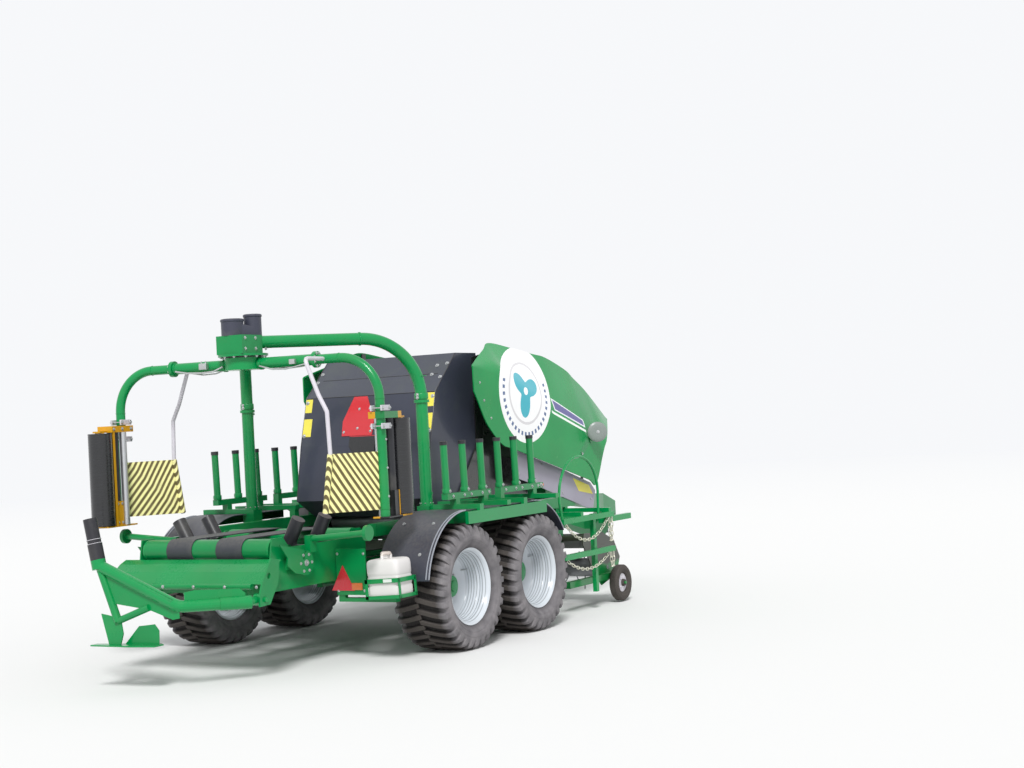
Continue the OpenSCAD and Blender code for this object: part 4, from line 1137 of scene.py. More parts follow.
def makeCoverTrim():
    for side, body in ((-1, "right_cover"), (1, "left_cover")):
        face = side * coverArt["side"]
        lift = alongY * side * latch["lift"]
        way = mirrored(latch["face"], side).normalized()
        middle = mirrored(latch["middle"], side)
        foot = mirrored(latch["foot"], side)
        bm = bmesh.new()
        addTurned(bm, latch["dish"], middle, way, segments=56)
        addPiece("latch_" + body, bm, "latch", body)
        bm = bmesh.new()
        start, end = (Vector((x, face, z)) + lift for x, z in latch["bar"])
        along = (end - start).normalized()
        wide = Vector((-along.z, 0, along.x)) * latch["barWide"]
        corners = [start + wide, end + wide, end - wide, start - wide]
        addSheet(bm, corners, latch["barThick"], side > 0)
        # the dish's stalk and its foot on the cover
        out, drop = latch["stalkBend"]
        stalk = [foot + lift, foot + Vector((0, side * out, drop)),
                 middle - way * out - alongZ * drop, middle - way * 0.001]
        addTube(bm, stalk, latch["stalk"], sides=14)
        top = foot + alongY * side * latch["footThick"]
        addRod(bm, foot + lift, top, latch["footRadius"], sides=28)
        addPiece("latch_bar_" + body, bm, "green", body)
        bm = bmesh.new()
        addBolt(bm, middle + way * latch["dishBolt"], way, size=0.018)
        ahead, out, up = latch["barBolt"]
        addBolt(bm, (end.x + ahead, face + side * out, end.z + up), (0, side, 0), size=0.014)
        for x, z in latch["bolts"]:
            addBolt(bm, (x, face, z), (0, side, 0), size=0.012)
        addPiece("cover_bolts_" + body, bm, "zinc", body)


makeCoverTrim()
print("covers made")

# Tailgate: bolts, plain stickers and dark seams, on the slope of its rear sheets
gate = {
    "outline": ((-0.308, 2.459), (-0.495, 2.281), (-0.670, 2.120), (-0.790, 1.690), (-0.890, 1.200)),
    # place across, and up
    "bolts": ((-0.672, 1.783), (-0.672, 2.080), (-0.668, 2.246), (-0.565, 2.272), (-0.668, 2.366),
              (-0.574, 2.352), (-0.668, 1.50), (-0.668, 1.25), (0.668, 2.339), (0.668, 2.262),
              (0.672, 2.080), (0.672, 1.783)),
    "boardBolts": ((0.088, 2.00), (0.088, 1.83), (-0.055, 1.80), (0.231, 1.80)),
    "boardLift": 0.0062,
    # inner and outer side, top and foot
    "stickers": ((-0.618, -0.692, 2.112, 1.992), (-0.600, -0.692, 1.934, 1.775)),
    "stickerLift": 0.0006,
    "stickerThick": 0.0012,
    # height and half length of the level seams
    "seams": ((2.2785, 0.62), (2.1195, 0.693)),
    "seamRadius": 0.004,
    "seamLift": -0.001,
    # heights of the folded strip down each edge
    "edge": (2.455, 2.282, 2.121, 1.691, 1.205),
    "edgeSide": 0.694,
}


def gatePoint(height, y, lift=0.0):
    # a point on the rear sheets at a height, lifted off them, and the way out
    outline = gate["outline"]
    for low, high in zip(outline[1:], outline):
        if height >= low[1]:
            break
    share = (height - low[1]) / (high[1] - low[1])
    way = Vector((high[0] - low[0], 0, high[1] - low[1])).normalized()
    out = Vector((-way.z, 0, way.x))
    return Vector((low[0] + (high[0] - low[0]) * share, y, height)) + out * lift, out


def makeGateTrim():
    bm = bmesh.new()
    for y, z in gate["bolts"]:
        addBolt(bm, *gatePoint(z, y), size=0.019)
    addPiece("gate_bolts", bm, "zinc", "gate")
    bm = bmesh.new()
    for near, far, top, foot in gate["stickers"]:
        for side in (1, -1):
            corners = [gatePoint(z, side * y, gate["stickerLift"])[0]
                       for y, z in ((near, foot), (far, foot), (far, top), (near, top))]
            addSheet(bm, corners, gate["stickerThick"], side < 0)
    addPiece("gate_stickers", bm, "sticker", "gate", smooth=False)
    bm = bmesh.new()
    for z, y in gate["seams"]:
        seam = [gatePoint(z, end, gate["seamLift"])[0] for end in (-y, y)]
        addTube(bm, seam, gate["seamRadius"], sides=8)
    for side in (-1, 1):
        edge = [gatePoint(z, side * gate["edgeSide"])[0] for z in gate["edge"]]
        addTube(bm, edge, gate["seamRadius"], sides=8)
    addPiece("gate_seams", bm, "capBlack", "gate")
    bm = bmesh.new()
    for y, z in gate["boardBolts"]:
        addBolt(bm, *gatePoint(z, y, gate["boardLift"]), size=0.013)
    addPiece("board_bolts", bm, "zinc", "gate")


makeGateTrim()

# Plain yellow stickers and bolts on the feeder plates
feeder = {
    "face": 0.848,
    "sticker": ((1.528, 1.231), (1.640, 1.096), (1.939, 1.047), (1.862, 1.141)),
    "stickerLift": 0.0003,
    "stickerThick": 0.001,
    "bolts": ((0.46, 1.50), (0.46, 1.33), (0.9, 1.40), (1.3, 1.29), (1.3, 1.10), (1.9, 1.0)),
}


def makeFeederTrim():
    stickers = bmesh.new()
    bolts = bmesh.new()
    for side in (-1, 1):
        face = side * (feeder["face"] + feeder["stickerLift"])
        corners = [(x, face, z) for x, z in feeder["sticker"]]
        addSheet(stickers, corners, feeder["stickerThick"], side > 0)
        for x, z in feeder["bolts"]:
            addBolt(bolts, (x, side * feeder["face"], z), (0, side, 0), size=0.013)
    addPiece("feeder_stickers", stickers, "sticker", "chassis", smooth=False)
    addPiece("feeder_bolts", bolts, "zinc", "chassis")


makeFeederTrim()
print("plates trimmed")

# Chains below the side guards: real links, each turned by a quarter from the one before
chain = {
    "pitch": 0.046,
    "wire": 0.0046,
    "wide": 0.0125,
    "side": 1.294,
    "main": (0.49, 1.35),
    "spare": (1.38, 1.44),
    "spareSag": 1.4,
    "hang": 0.008,
    # a bar's height, and the sag of the chain below it
    "bars": ((0.855, 0.170), (0.525, 0.110)),
    "bend": 5,
}


def addLink(bm, middle, way, flat):
    # a closed link: two straight sides and two round ends
    wide = chain["wide"]
    reach = chain["pitch"] / 2 + chain["wire"] - wide
    points = []
    for start, shift in ((-math.pi / 2, reach), (math.pi / 2, -reach)):
        for k in range(chain["bend"] + 1):
            angle = start + math.pi * k / chain["bend"]
            points.append(middle + way * (shift + wide * math.cos(angle))
                          + flat * wide * math.sin(angle))
    addTube(bm, points, chain["wire"], sides=7, closed=True)


def hangingLine(start, end, sag, steps=200):
    # points a link apart along a sagging line
    fine = []
    for k in range(steps + 1):
        t = k / steps
        fine.append(Vector((start.x + (end.x - start.x) * t, start.y,
                            start.z + (end.z - start.z) * t - 4 * sag * t * (1 - t))))
    total = sum((b - a).length for a, b in zip(fine, fine[1:]))
    count = max(2, round(total / chain["pitch"]))
    line = [fine[0]]
    walked = 0.0
    for a, b in zip(fine, fine[1:]):
        walked += (b - a).length
        if walked >= total / count * len(line) and len(line) < count:
            line.append(b)
    return line + [fine[-1]]


def makeChains():
    bm = bmesh.new()
    for side in (-1, 1):
        for bar, sag in chain["bars"]:
            for ends, drop in ((chain["main"], sag), (chain["spare"], chain["spareSag"] * sag)):
                near, far = (Vector((x, side * chain["side"], bar - chain["hang"])) for x in ends)
                line = hangingLine(near, far, drop)
                for k, (a, b) in enumerate(zip(line, line[1:])):
                    way = (b - a).normalized()
                    addLink(bm, (a + b) / 2, way, alongY if k % 2 else way.cross(alongY))
    piece = addPiece("links", bm, "chain", "chassis", angle=60)
    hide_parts("guard_chains")


makeChains()
print("chains made")

# Film racks: clamps and bolts on the rails, a silvery bolt and an amber lens at the front end
rack = {
    "posts": [-1.38 + 0.29 * k for k in range(6)],
    "side": 1.2,
    # a split ring round a post's foot
    "clamp": ((0.0302, 1.262), (0.0302, 1.300), (0.0362, 1.300), (0.0372, 1.296), (0.0372, 1.266),
              (0.0362, 1.262)),
    "clampShift": -0.0012,
    "clampBolt": (0.0372, 1.281),
    # the rail's outer face and middle, its rear end and its break
    "rail": (1.2302, 1.235),
    "rear": -1.40,
    "break": (-0.719, -0.532),
    "besidePost": 0.055,
    "endBolt": (0.18, 0.0302),
    "lens": ((0.001, 0.2402), (0.0225, 0.2402), (0.0232, 0.2440), (0.0200, 0.2520), (0.012, 0.2565),
             (0.001, 0.2575)),
}


def makeRackTrim():
    bolts = bmesh.new()
    clamps = bmesh.new()
    lenses = bmesh.new()
    face, level = rack["rail"]
    for side in (-1, 1):
        y = side * rack["side"]
        for x in rack["posts"]:
            foot = x + rack["clampShift"]
            out, height = rack["clampBolt"]
            revolve(clamps, rack["clamp"], (foot, y, 0), segments=32, axis="Z")
            addBolt(bolts, (foot, y + side * out, height), (0, side, 0), size=0.014)
            for spot in (x - rack["besidePost"], x + rack["besidePost"]):
                if spot > rack["rear"] and not rack["break"][0] < spot < rack["break"][1]:
                    addBolt(bolts, (spot, side * face, level), (0, side, 0), size=0.014)
        x, out = rack["endBolt"]
        addBolt(bolts, (x, y + side * out, level), (0, side, 0), size=0.022)
        addTurned(lenses, rack["lens"], (0, y, level), alongX, segments=28)
    addPiece("rack_bolts", bolts, "zinc", "chassis")
    addPiece("rack_clamps", clamps, "rack", "chassis")
    addPiece("rack_lenses", lenses, "amber", "chassis")


makeRackTrim()
print("film racks trimmed")

# Arch: a clamp with bolts on each leg, thin seam rings, a clipped hose, and the foot's bolts
arch = {
    "x": -1.252,
    "side": 0.92,
    "radius": 0.051,
    "top": 2.57,
    # out from the tube, and up from the clamp's foot
    "clamp": ((0.0003, 0.0), (0.0003, 0.05), (0.006, 0.05), (0.008, 0.046), (0.008, 0.004),
              (0.006, 0.0)),
    "clampFoot": 2.049,
    "clampBolts": (0.013, 0.037),
    "clampOut": 0.008,
    "seam": 2.245,
    "seamOut": 0.001,
    "seamWire": 0.0025,
    "hoseRadius": 0.0095,
    "hoseOut": 0.0098,
    "hoseSway": 0.008,
    "hoseWave": 0.9,
    "hoseFoot": 1.19,
    "hoseStep": 0.068,
    "hosePoints": 14,
    "clips": (1, 5, 9, 12),
    "clip": ((-0.013, -0.014, -0.009), (0.014, 0.014, 0.009)),
    "flange": 1.1803,
    "flangeCircle": 0.0555,
    "flangeBolts": 8,
    # a ring beyond the bend: its place, inner and outer radius over the tube's, and length
    "bendRing": (0.505, 0.0003, 0.006, 0.014),
}


def makeArchTrim():
    rings = bmesh.new()
    bolts = bmesh.new()
    hoses = bmesh.new()
    x, r = arch["x"], arch["radius"]
    for side in (-1, 1):
        y = side * arch["side"]
        clamp = [(r + out, arch["clampFoot"] + up) for out, up in arch["clamp"]]
        revolve(rings, clamp, (x, y, 0), segments=40, axis="Z")
        for up in arch["clampBolts"]:
            spot = (x - r - arch["clampOut"], y, arch["clampFoot"] + up)
            addBolt(bolts, spot, (-1, 0, 0), size=0.015)
        turns = [2 * math.pi * k / 32 for k in range(32)]
        out = r + arch["seamOut"]
        seam = [(x + out * math.cos(t), y + out * math.sin(t), arch["seam"]) for t in turns]
        addTube(rings, seam, arch["seamWire"], sides=6, closed=True)
        # from the foot to the upper clamp
        hose = [Vector((x + r + arch["hoseOut"],
                        y + side * arch["hoseSway"] * math.sin(k * arch["hoseWave"]),
                        arch["hoseFoot"] + arch["hoseStep"] * k)) for k in range(arch["hosePoints"])]
        addTube(hoses, hose, arch["hoseRadius"], sides=10)
        for k in arch["clips"]:
            low, high = (hose[k] + Vector(corner) for corner in arch["clip"])
            addBox(rings, low, high, bevel=0.003)
        boltRing(bolts, (x, y, arch["flange"]), (alongX, alongY), arch["flangeCircle"],
                 arch["flangeBolts"], alongZ, 0.008)
        way = Vector((machine["rotorX"] - x, -y, 0)).normalized()
        place, inner, outer, length = arch["bendRing"]
        middle = Vector((x, y, arch["top"])) + way * place
        addRing(rings, middle, way, r + inner, r + outer, length)
    addPiece("arch_rings", rings, "greenClean", "chassis")
    addPiece("arch_bolts", bolts, "zinc", "chassis")
    addPiece("arch_hoses", hoses, "hose", "chassis")


makeArchTrim()
print("arch trimmed")

# An arm's sleeve and tubes: places along the arm, across it and up
arm = {
    "flange": 0.6802,
    "flangeCircle": 0.053,
    "flangeBolts": 8,
    # place along, inner and outer radius, and length
    "rings": ((0.632, 0.0446, 0.050, 0.018), (0.155, 0.0446, 0.052, 0.024),
              (0.866, 0.0381, 0.0410, 0.006)),
    "uprightRing": (0.0381, 0.0410, 0.006),
    "uprightRings": (2.056, 1.20),
    "uprightBolts": (1.30, 1.52, 1.74),
    "uprightFace": 0.0382,
}

# A film dispenser: two level clamp bars round the upright, and rows of bolts on the trough and the
# yellow gear box
dispenser = {
    "clamps": (1.985, 1.845),
    "barOut": 0.0452,
    "barHalf": (0.006, 0.075, 0.022),
    "rods": (-0.058, 0.058),
    "rodHalf": 0.05,
    "rodRadius": 0.005,
    "rodEnd": 0.0515,
    # the inner faces of the trough and of the gear box, from the upright's middle
    "troughFace": -0.08,
    "troughLevel": 1.932,
    "troughBolts": (-0.02, 0.1, 0.215),
    "boxFace": -0.064,
    "boxBolts": ((0.125, 1.165), (0.182, 1.165), (0.125, 1.32), (0.182, 1.32)),
    "filmAcross": 0.299,
}

# The striped sheet's hem, sewn round the safety bar, from foot to top
sheetHem = {"ends": ((0.8708, -0.3450, 1.202), (0.940, -0.350, 1.648)), "steps": 12, "radius": 0.0235}

# A roll's pale core end and top cap, over the film's top, and the two bands round its ends
film = {
    "cap": ((0.001, 0.0022), (0.030, 0.0022), (0.034, 0.0012), (0.0385, 0.0012), (0.0385, 0.0003),
            (0.001, 0.0003)),
    "band": ((0.0951, 0.0), (0.0951, 0.008), (0.0962, 0.0075), (0.0962, 0.0005)),
    "bandFoot": 0.002,
    "bandTop": 0.010,
}


def makeArmTrim(roll, turn):
    tag = roll[-1]
    reach, level = machine["armRadius"], machine["armHeight"]
    rings = bmesh.new()
    bolts = bmesh.new()
    along = armWay(turn, 1.0)
    boltRing(bolts, armPoint(turn, arm["flange"], 0.0, level), (alongZ.cross(along), alongZ),
             arm["flangeCircle"], arm["flangeBolts"], along, 0.013)
    for place, inner, outer, length in arm["rings"]:
        addRing(rings, armPoint(turn, place, 0.0, level), along, inner, outer, length)
    for height in arm["uprightRings"]:
        addRing(rings, armPoint(turn, reach, 0.0, height), alongZ, *arm["uprightRing"])
    addPiece("arm_rings_" + tag, rings, "greenClean", "rotor")
    bars = bmesh.new()
    half = Vector(dispenser["barHalf"])
    for height in dispenser["clamps"]:
        for far in (-dispenser["barOut"], dispenser["barOut"]):
            middle = Vector((far, 0, height))
            addBox(bars, middle - half, middle + half, bevel=0.003, turn=armFrame(turn, reach))
        for across in dispenser["rods"]:
            for way in (-1, 1):
                end = armPoint(turn, reach + way * dispenser["rodEnd"], across, height)
                addBolt(bolts, end, along * way, size=0.017)
            low, high = (armPoint(turn, reach + way * dispenser["rodHalf"], across, height)
                         for way in (-1, 1))
            addRod(bolts, low, high, dispenser["rodRadius"], sides=10)
    for height in arm["uprightBolts"]:
        addBolt(bolts, armPoint(turn, reach + arm["uprightFace"], 0.0, height), along, size=0.011)
    for across in dispenser["troughBolts"]:
        spot = armPoint(turn, reach + dispenser["troughFace"], across, dispenser["troughLevel"])
        addBolt(bolts, spot, -along, size=0.016)
    for across, height in dispenser["boxBolts"]:
        spot = armPoint(turn, reach + dispenser["boxFace"], across, height)
        addBolt(bolts, spot, -along, size=0.013)
    addPiece("dispenser_bolts_" + tag, bolts, "zinc", "rotor")
    addPiece("dispenser_bars_" + tag, bars, "barGrey", "rotor")
    bm = bmesh.new()
    low, high = (Vector(p) for p in sheetHem["ends"])
    shares = [k / sheetHem["steps"] for k in range(sheetHem["steps"] + 1)]
    line = [armPoint(turn, *low.lerp(high, share)) for share in shares]
    addTube(bm, line, sheetHem["radius"], sides=20)
    addPiece("sheet_hem_" + tag, bm, "striped", "rotor")
    # core and bands turn with the roll
    bm = bmesh.new()
    middle = armPoint(turn, reach, dispenser["filmAcross"], 0.0)
    top = machine["filmFoot"] + machine["filmLength"]
    revolve(bm, [(r, top + up) for r, up in film["cap"]], middle, segments=40, axis="Z")
    addPiece("core_" + roll, bm, "label", roll)
    bm = bmesh.new()
    for foot in (machine["filmFoot"] + film["bandFoot"], top - film["bandTop"]):
        revolve(bm, [(r, foot + up) for r, up in film["band"]], middle, segments=56, axis="Z")
    addPiece("wrap_" + roll, bm, "film", roll)


for roll, turn in armTurns.items():
    makeArmTrim(roll, turn)
print("arms trimmed")

# Rotor head: flange bolts and rows of small bolts, and under it the pipes, blocks and fittings that
# turn with the arms
head = {
    "foot": 2.458,
    "bolts": 12,
    "circle": 0.178,
    "side": 0.1302,
    "rowPlaces": (-0.13, 0.0, 0.13),
    "rowHeights": (2.515, 2.60),
    # a pipe's radius, and its points along the arm, across it and up
    "pipes": ((0.007, ((0.16, 0.056, 2.385), (0.24, 0.066, 2.352), (0.36, 0.070, 2.345),
                       (0.50, 0.064, 2.352), (0.615, 0.052, 2.372))),
              (0.006, ((0.18, -0.056, 2.372), (0.30, -0.06, 2.338), (0.42, -0.058, 2.334),
                       (0.60, -0.052, 2.365)))),
    "blocks": (((0.30, 0.0452, 2.372), (0.37, 0.085, 2.422)),
               ((0.46, -0.078, 2.368), (0.51, -0.0452, 2.408))),
    "fittings": (0.315, 0.355),
    "fittingAcross": 0.065,
    "fittingUp": (2.422, 2.440),
}


def makeHeadTrim():
    bolts = bmesh.new()
    middle = machine["rotorX"]
    boltRing(bolts, (middle, 0, head["foot"]), (alongX, alongY), head["circle"], head["bolts"],
             -alongZ, 0.018)
    for along in head["rowPlaces"]:
        for side in (-1, 1):
            for height in head["rowHeights"]:
                spot = (middle + along, side * head["side"], height)
                addBolt(bolts, spot, (0, side, 0), size=0.014)
    addPiece("head_bolts", bolts, "zinc", "chassis")
    parts = bmesh.new()
    for turn in armTurns.values():
        for radius, points in head["pipes"]:
            addTube(parts, [armPoint(turn, *p) for p in points], radius, sides=10)
        for low, high in head["blocks"]:
            addBox(parts, low, high, bevel=0.004, turn=armFrame(turn))
        for along in head["fittings"]:
            low, high = (armPoint(turn, along, head["fittingAcross"], up) for up in head["fittingUp"])
            addRod(parts, low, high, 0.006, sides=12)
    addPiece("head_fittings", parts, "zinc", "rotor")


makeHeadTrim()
print("head trimmed")

# Head cover: two round caps on a sloping housing, the rear one wide and low, the front one narrow
# and tall
headCover = {
    "foot": 2.625,
    # place from the rotor's axis, radius and height
    "caps": (((-0.085, 0.028), 0.094, 0.137), ((0.083, -0.046), 0.076, 0.174)),
    # a cap's upper edge and groove: inward from its radius, down from its top
    "edge": ((0.014, 0.001), (0.004, 0.004), (0.0, 0.010), (0.0, 0.022), (0.003, 0.025),
             (0.005, 0.027)),
    # circles that the housing's outline goes round
    "housing": ((-0.085, 0.028, 0.086), (0.083, -0.046, 0.070), (0.110, -0.03, 0.045)),
    # height and inset of its level outlines, which fall towards the front
    "levels": ((0.0, 0.004), (0.088, 0.006), (0.096, 0.010), (0.100, 0.020)),
    "fall": 0.4,
    "fallLength": 0.2,
}


def makeHeadCover():
    bm = bmesh.new()
    foot = headCover["foot"]
    for (x, y), radius, tall in headCover["caps"]:
        section = [(0.0015, foot + tall)]
        section += [(radius - inward, foot + tall - down) for inward, down in headCover["edge"]]
        section += [(radius - 0.005, foot + 0.002), (radius - 0.002, foot), (0.0015, foot)]
        revolve(bm, section, (machine["rotorX"] + x, y, 0), segments=56, axis="Z")
    rings = []
    rear = headCover["housing"][0][0]
    for height, inset in headCover["levels"]:
        ring = []
        for k in range(64):
            turn = 2 * math.pi * k / 64
            way = Vector((math.cos(turn), math.sin(turn), 0))
            x, y, radius = max(headCover["housing"], key=lambda c: c[0] * way.x + c[1] * way.y + c[2])
            share = max(0.0, min(1.0, (x - rear) / headCover["fallLength"]))
            up = height * (1 - headCover["fall"] * share)
            ring.append(Vector((machine["rotorX"] + x, y, foot + up)) + way * (radius - inset))
        rings.append(ring)
    loft(bm, rings)
    piece = addPiece("head_caps", bm, "headGrey", "chassis")
    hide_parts("head_cover")


makeHeadCover()

# Wrapping table: roller ends, the side plates' bolts, and the bolts of the cross beam and the apron
table = {
    "rollers": (-2.94, -1.914),
    "level": 0.95,
    "half": 0.6212,
    # a roller's end: radius, and distance out
    "end": ((0.001, 0.0), (0.060, 0.0), (0.070, -0.003), (0.0852, -0.004), (0.0862, -0.010),
            (0.0862, -0.022), (0.0852, -0.0225), (0.0852, -0.012), (0.001, -0.001)),
    "hub": (-2.668, 0.7062, 0.826),
    "hubCircle": 0.07,
    "beamFace": -2.2122,
    "beamBolts": ((0.67, 0.56), (0.67, 0.85), (0.92, 0.56), (0.92, 0.85)),
    "apron": (-3.2842, 0.708),
    "apronBolts": (-0.70, -0.40, -0.1, 0.2, 0.5, 0.74),
}


def makeTableTrim():
    bolts = bmesh.new()
    ends = bmesh.new()
    for x in table["rollers"]:
        for side in (-1, 1):
            revolve(ends, [(r, side * (table["half"] + out)) for r, out in table["end"]],
                    (x, 0, table["level"]), segments=48)
    for side in (-1, 1):
        hub = mirrored(table["hub"], side)
        boltRing(bolts, hub, (alongX, alongZ), table["hubCircle"], 6, (0, side, 0), 0.013, shift=0.0)
        addBolt(bolts, hub, (0, side, 0), size=0.026)
        for y, z in table["beamBolts"]:
            addBolt(bolts, (table["beamFace"], side * y, z), (-1, 0, 0), size=0.013)
    for y in table["apronBolts"]:
        addBolt(bolts, (table["apron"][0], y, table["apron"][1]), (-1, 0, 0), size=0.014)
    addPiece("table_bolts", bolts, "zinc", "chassis")
    addPiece("roller_ends", ends, "greenClean", "chassis")


# Pale seams round the tipper's black post: its foot and lean, the places along it, and a seam's inner
# and outer radius and length
post = {"foot": (-3.790, 0.360, 0.925), "way": (0, 1, 4.9), "seams": (0.16, 0.19),
        "seam": (0.0551, 0.0568, 0.004)}


def makeTipperTrim():
    bm = bmesh.new()
    way = Vector(post["way"]).normalized()
    for along in post["seams"]:
        addRing(bm, Vector(post["foot"]) + way * along, way, *post["seam"], segments=48)
    addPiece("post_seams", bm, "barGrey", "tip")


# Amber corners on the beam behind the wheels
amber = {"face": -2.2124, "thick": 0.006, "across": (0.80, 0.90), "up": (0.565, 0.62)}


def makeAmberCorners():
    bm = bmesh.new()
    for side in (-1, 1):
        near, far = sorted(side * y for y in amber["across"])
        low, high = zip((amber["face"] - amber["thick"], amber["face"]), (near, far), amber["up"])
        addBox(bm, low, high, bevel=0.002)
    addPiece("amber_corners", bm, "amber", "chassis")


# Canister: a blow-moulded can with panels, a handle and a ribbed cap, leaning in its bracket.
# Its own places are from its foot, and its lean is in degrees.
can = {
    "foot": (-2.20, -1.16, 0.505),
    "half": (0.113, 0.150),
    "lean": -3,
    "corner": 2 / 7,
    # height, and share of the full width
    "levels": ((0.0, 0.90), (0.006, 0.95), (0.018, 0.985), (0.045, 1.0), (0.092, 1.0), (0.098, 0.975),
               (0.108, 0.975), (0.114, 1.0), (0.168, 1.0), (0.174, 0.975), (0.184, 0.975), (0.190, 1.0),
               (0.262, 1.0), (0.285, 0.985), (0.298, 0.94), (0.306, 0.86), (0.310, 0.7)),
    "handle": ((-0.078, 0.0, 0.302), (-0.078, 0.0, 0.335), (-0.068, 0.0, 0.348), (0.028, 0.0, 0.348),
               (0.040, 0.0, 0.335), (0.040, 0.0, 0.302)),
    "handleRadius": 0.013,
    "mouth": (0.075, 0.07),
    "neck": ((0.0015, 0.300), (0.034, 0.300), (0.031, 0.318), (0.031, 0.330), (0.0015, 0.330)),
    "cap": ((0.0015, 0.358), (0.030, 0.358), (0.035, 0.355), (0.037, 0.350), (0.037, 0.326),
            (0.0015, 0.326)),
    "ribs": 20,
    "ribCircle": 0.0365,
    "ribUp": (0.328, 0.350),
    "ribRadius": 0.0024,
}

# Its bracket: flat bars round its lower half, with a blank label
bracket = {
    "gap": 0.006,
    "thick": 0.006,
    "upright": 0.028,
    "upper": (0.125, 0.160),
    "lower": (0.002, 0.03),
    "full": (0.002, 0.160),
    "label": ((-0.10, -0.02), (0.130, 0.155)),
    "labelOut": (0.0015, 0.0002),
}


def canOutline(share, height):
    # a level outline with well rounded corners
    points = []
    for k in range(64):
        turn = 2 * math.pi * (k + 0.5) / 64
        flat = []
        for half, part in zip(can["half"], (math.cos(turn), math.sin(turn))):
            flat.append(math.copysign(half * share * abs(part) ** can["corner"], part))
        points.append(Vector((*flat, height)))
    return points


def makeCan():
    lean = Matrix.Translation(can["foot"]) @ Matrix.Rotation(math.radians(can["lean"]), 4, "X")
    bm = bmesh.new()
    mouth = Vector((*can["mouth"], 0))
    for section in (can["neck"], can["cap"]):
        revolve(bm, section, mouth, segments=32, axis="Z")
    for k in range(can["ribs"]):
        turn = 2 * math.pi * k / can["ribs"]
        spot = mouth + can["ribCircle"] * Vector((math.cos(turn), math.sin(turn), 0))
        low, high = (spot + alongZ * up for up in can["ribUp"])
        addRod(bm, low, high, can["ribRadius"], sides=6)
    bmesh.ops.transform(bm, matrix=lean, verts=bm.verts)
    loft(bm, [[lean @ p for p in canOutline(share, height)] for height, share in can["levels"]])
    addTube(bm, [lean @ Vector(p) for p in can["handle"]], can["handleRadius"], sides=14)
    piece = addPiece("canister", bm, "white", "chassis", angle=45)
    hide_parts("water_can")


def makeBracket():
    lean = Matrix.Translation(can["foot"]) @ Matrix.Rotation(math.radians(can["lean"]), 4, "X")
    wide, deep = (half + bracket["gap"] for half in can["half"])
    thick, upright = bracket["thick"], bracket["upright"]
    behind, beside, along = (-wide - thick, -wide), (-deep - thick, -deep), (-deep - thick, deep)
    bm = bmesh.new()
    # each bar from and to: along the machine, across it and up
    for bar in (((-wide, wide), beside, bracket["upper"]), ((-wide, wide), beside, bracket["lower"]),
                (behind, along, bracket["upper"]), (behind, along, bracket["lower"]),
                ((-wide - thick, -wide - thick + upright), beside, bracket["full"]),
                ((wide + thick - upright, wide + thick), beside, bracket["full"]),
                (behind, (deep - upright, deep), bracket["full"]),
                ((wide, wide + thick), along, bracket["upper"])):
        low, high = zip(*bar)
        addBox(bm, low, high, bevel=0.0015, turn=lean)
    addPiece("can_bracket", bm, "greenClean", "chassis")
    bm = bmesh.new()
    low, high = zip([-wide - thick - out for out in bracket["labelOut"]], *bracket["label"])
    addBox(bm, low, high, bevel=0.0003, turn=lean)
    addPiece("bracket_label", bm, "label", "chassis", smooth=False)


makeTableTrim()
makeTipperTrim()
makeAmberCorners()
makeCan()
makeBracket()
print("table, tipper and canister trimmed")

# Floor, background and light: turns in degrees, and the reach over which the floor fades
studio = {
    "floorSize": 60,
    "floorColor": (0.80, 0.80, 0.79, 1.0),
    "worldColor": (0.93, 0.94, 0.96, 1.0),
    "worldLight": 0.66,
    "sun": 2.7,
    "sunTurn": (44, -8, -50),
    "sunAngle": 14,
    "fade": (14, 40),
}


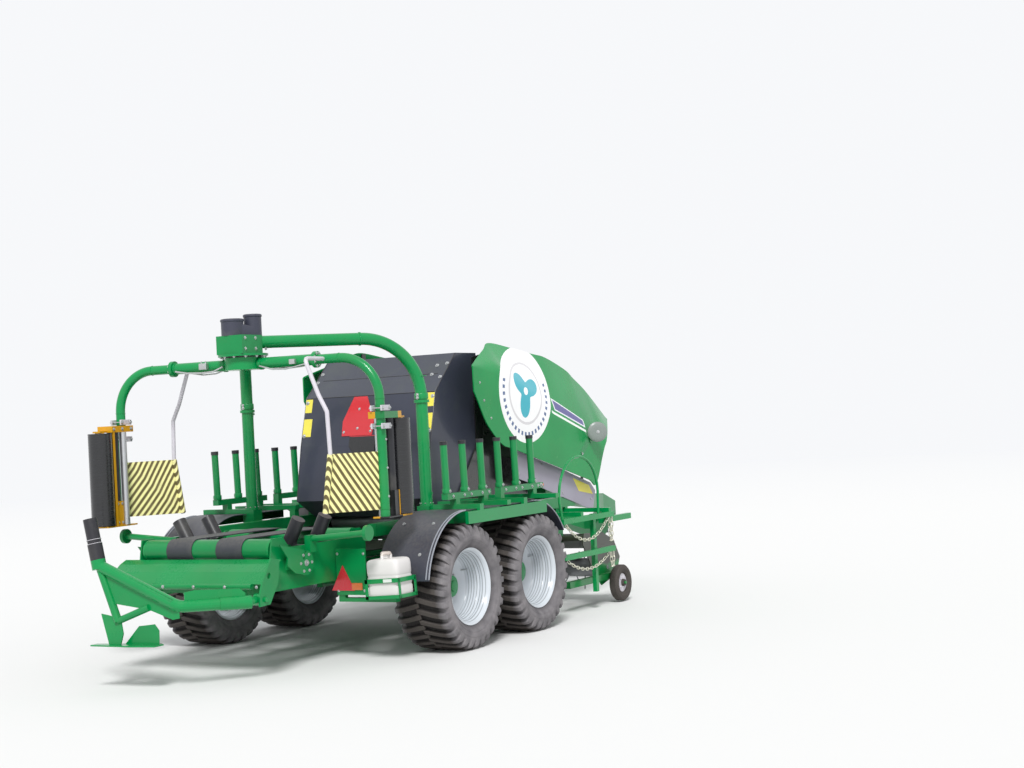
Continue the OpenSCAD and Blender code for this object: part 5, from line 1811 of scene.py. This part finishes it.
def makeFloor():
    bm = bmesh.new()
    bmesh.ops.create_grid(bm, x_segments=1, y_segments=1, size=studio["floorSize"])
    mesh = bpy.data.meshes.new("floor")
    bm.to_mesh(mesh)
    bm.free()
    floor = bpy.data.objects.new("floor", mesh)
    bpy.context.scene.collection.objects.link(floor)
    ground = Finish("floorPaint", studio["floorColor"], roughness=0.9, specular=0.1)
    # far off, the floor goes over into the background's colour
    x, y = ground.axes()[:2]
    far = (x * x + y * y).root().fade(*studio["fade"])
    direct = ground.node("ShaderNodeLightPath", output="Is Camera Ray")
    glow = ground.node("ShaderNodeEmission", values={"Color": studio["worldColor"], "Strength": 1.0})
    surface = Wire(ground.tree, ground.shader.outputs[0])
    mixed = ground.node("ShaderNodeMixShader", values={0: far * direct, 1: surface, 2: glow})
    plug(ground.tree, mixed, ground.tree.nodes["Material Output"].inputs["Surface"])
    mesh.materials.append(ground.material)


def makeWorld():
    # a plain white background for the camera and for reflections, and a softer light on the machine
    world = bpy.data.worlds.new("studio")
    world.use_nodes = True
    bpy.context.scene.world = world
    sky = Nodes(world.node_tree)
    own = sky.tree.nodes["Background"]
    own.inputs["Color"].default_value = studio["worldColor"]
    own.inputs["Strength"].default_value = studio["worldLight"]
    plain = Wire(sky.tree, own.outputs[0])
    seen = sky.node("ShaderNodeBackground", values={"Color": studio["worldColor"], "Strength": 1.0})
    rays = [sky.node("ShaderNodeLightPath", output="Is " + kind + " Ray")
            for kind in ("Camera", "Glossy", "Transmission")]
    share = (rays[0] + rays[1] + rays[2]).clamped()
    pick = sky.node("ShaderNodeMixShader", values={0: share, 1: plain, 2: seen})
    plug(sky.tree, pick, sky.tree.nodes["World Output"].inputs["Surface"])


def makeSun():
    lamp = bpy.data.lights.new("sun", "SUN")
    lamp.energy = studio["sun"]
    lamp.angle = math.radians(studio["sunAngle"])
    sun = bpy.data.objects.new("sun", lamp)
    sun.rotation_euler = [math.radians(turn) for turn in studio["sunTurn"]]
    bpy.context.scene.collection.objects.link(sun)


makeFloor()
makeWorld()
makeSun()
bpy.context.scene.view_settings.view_transform = "Standard"
print("studio made")
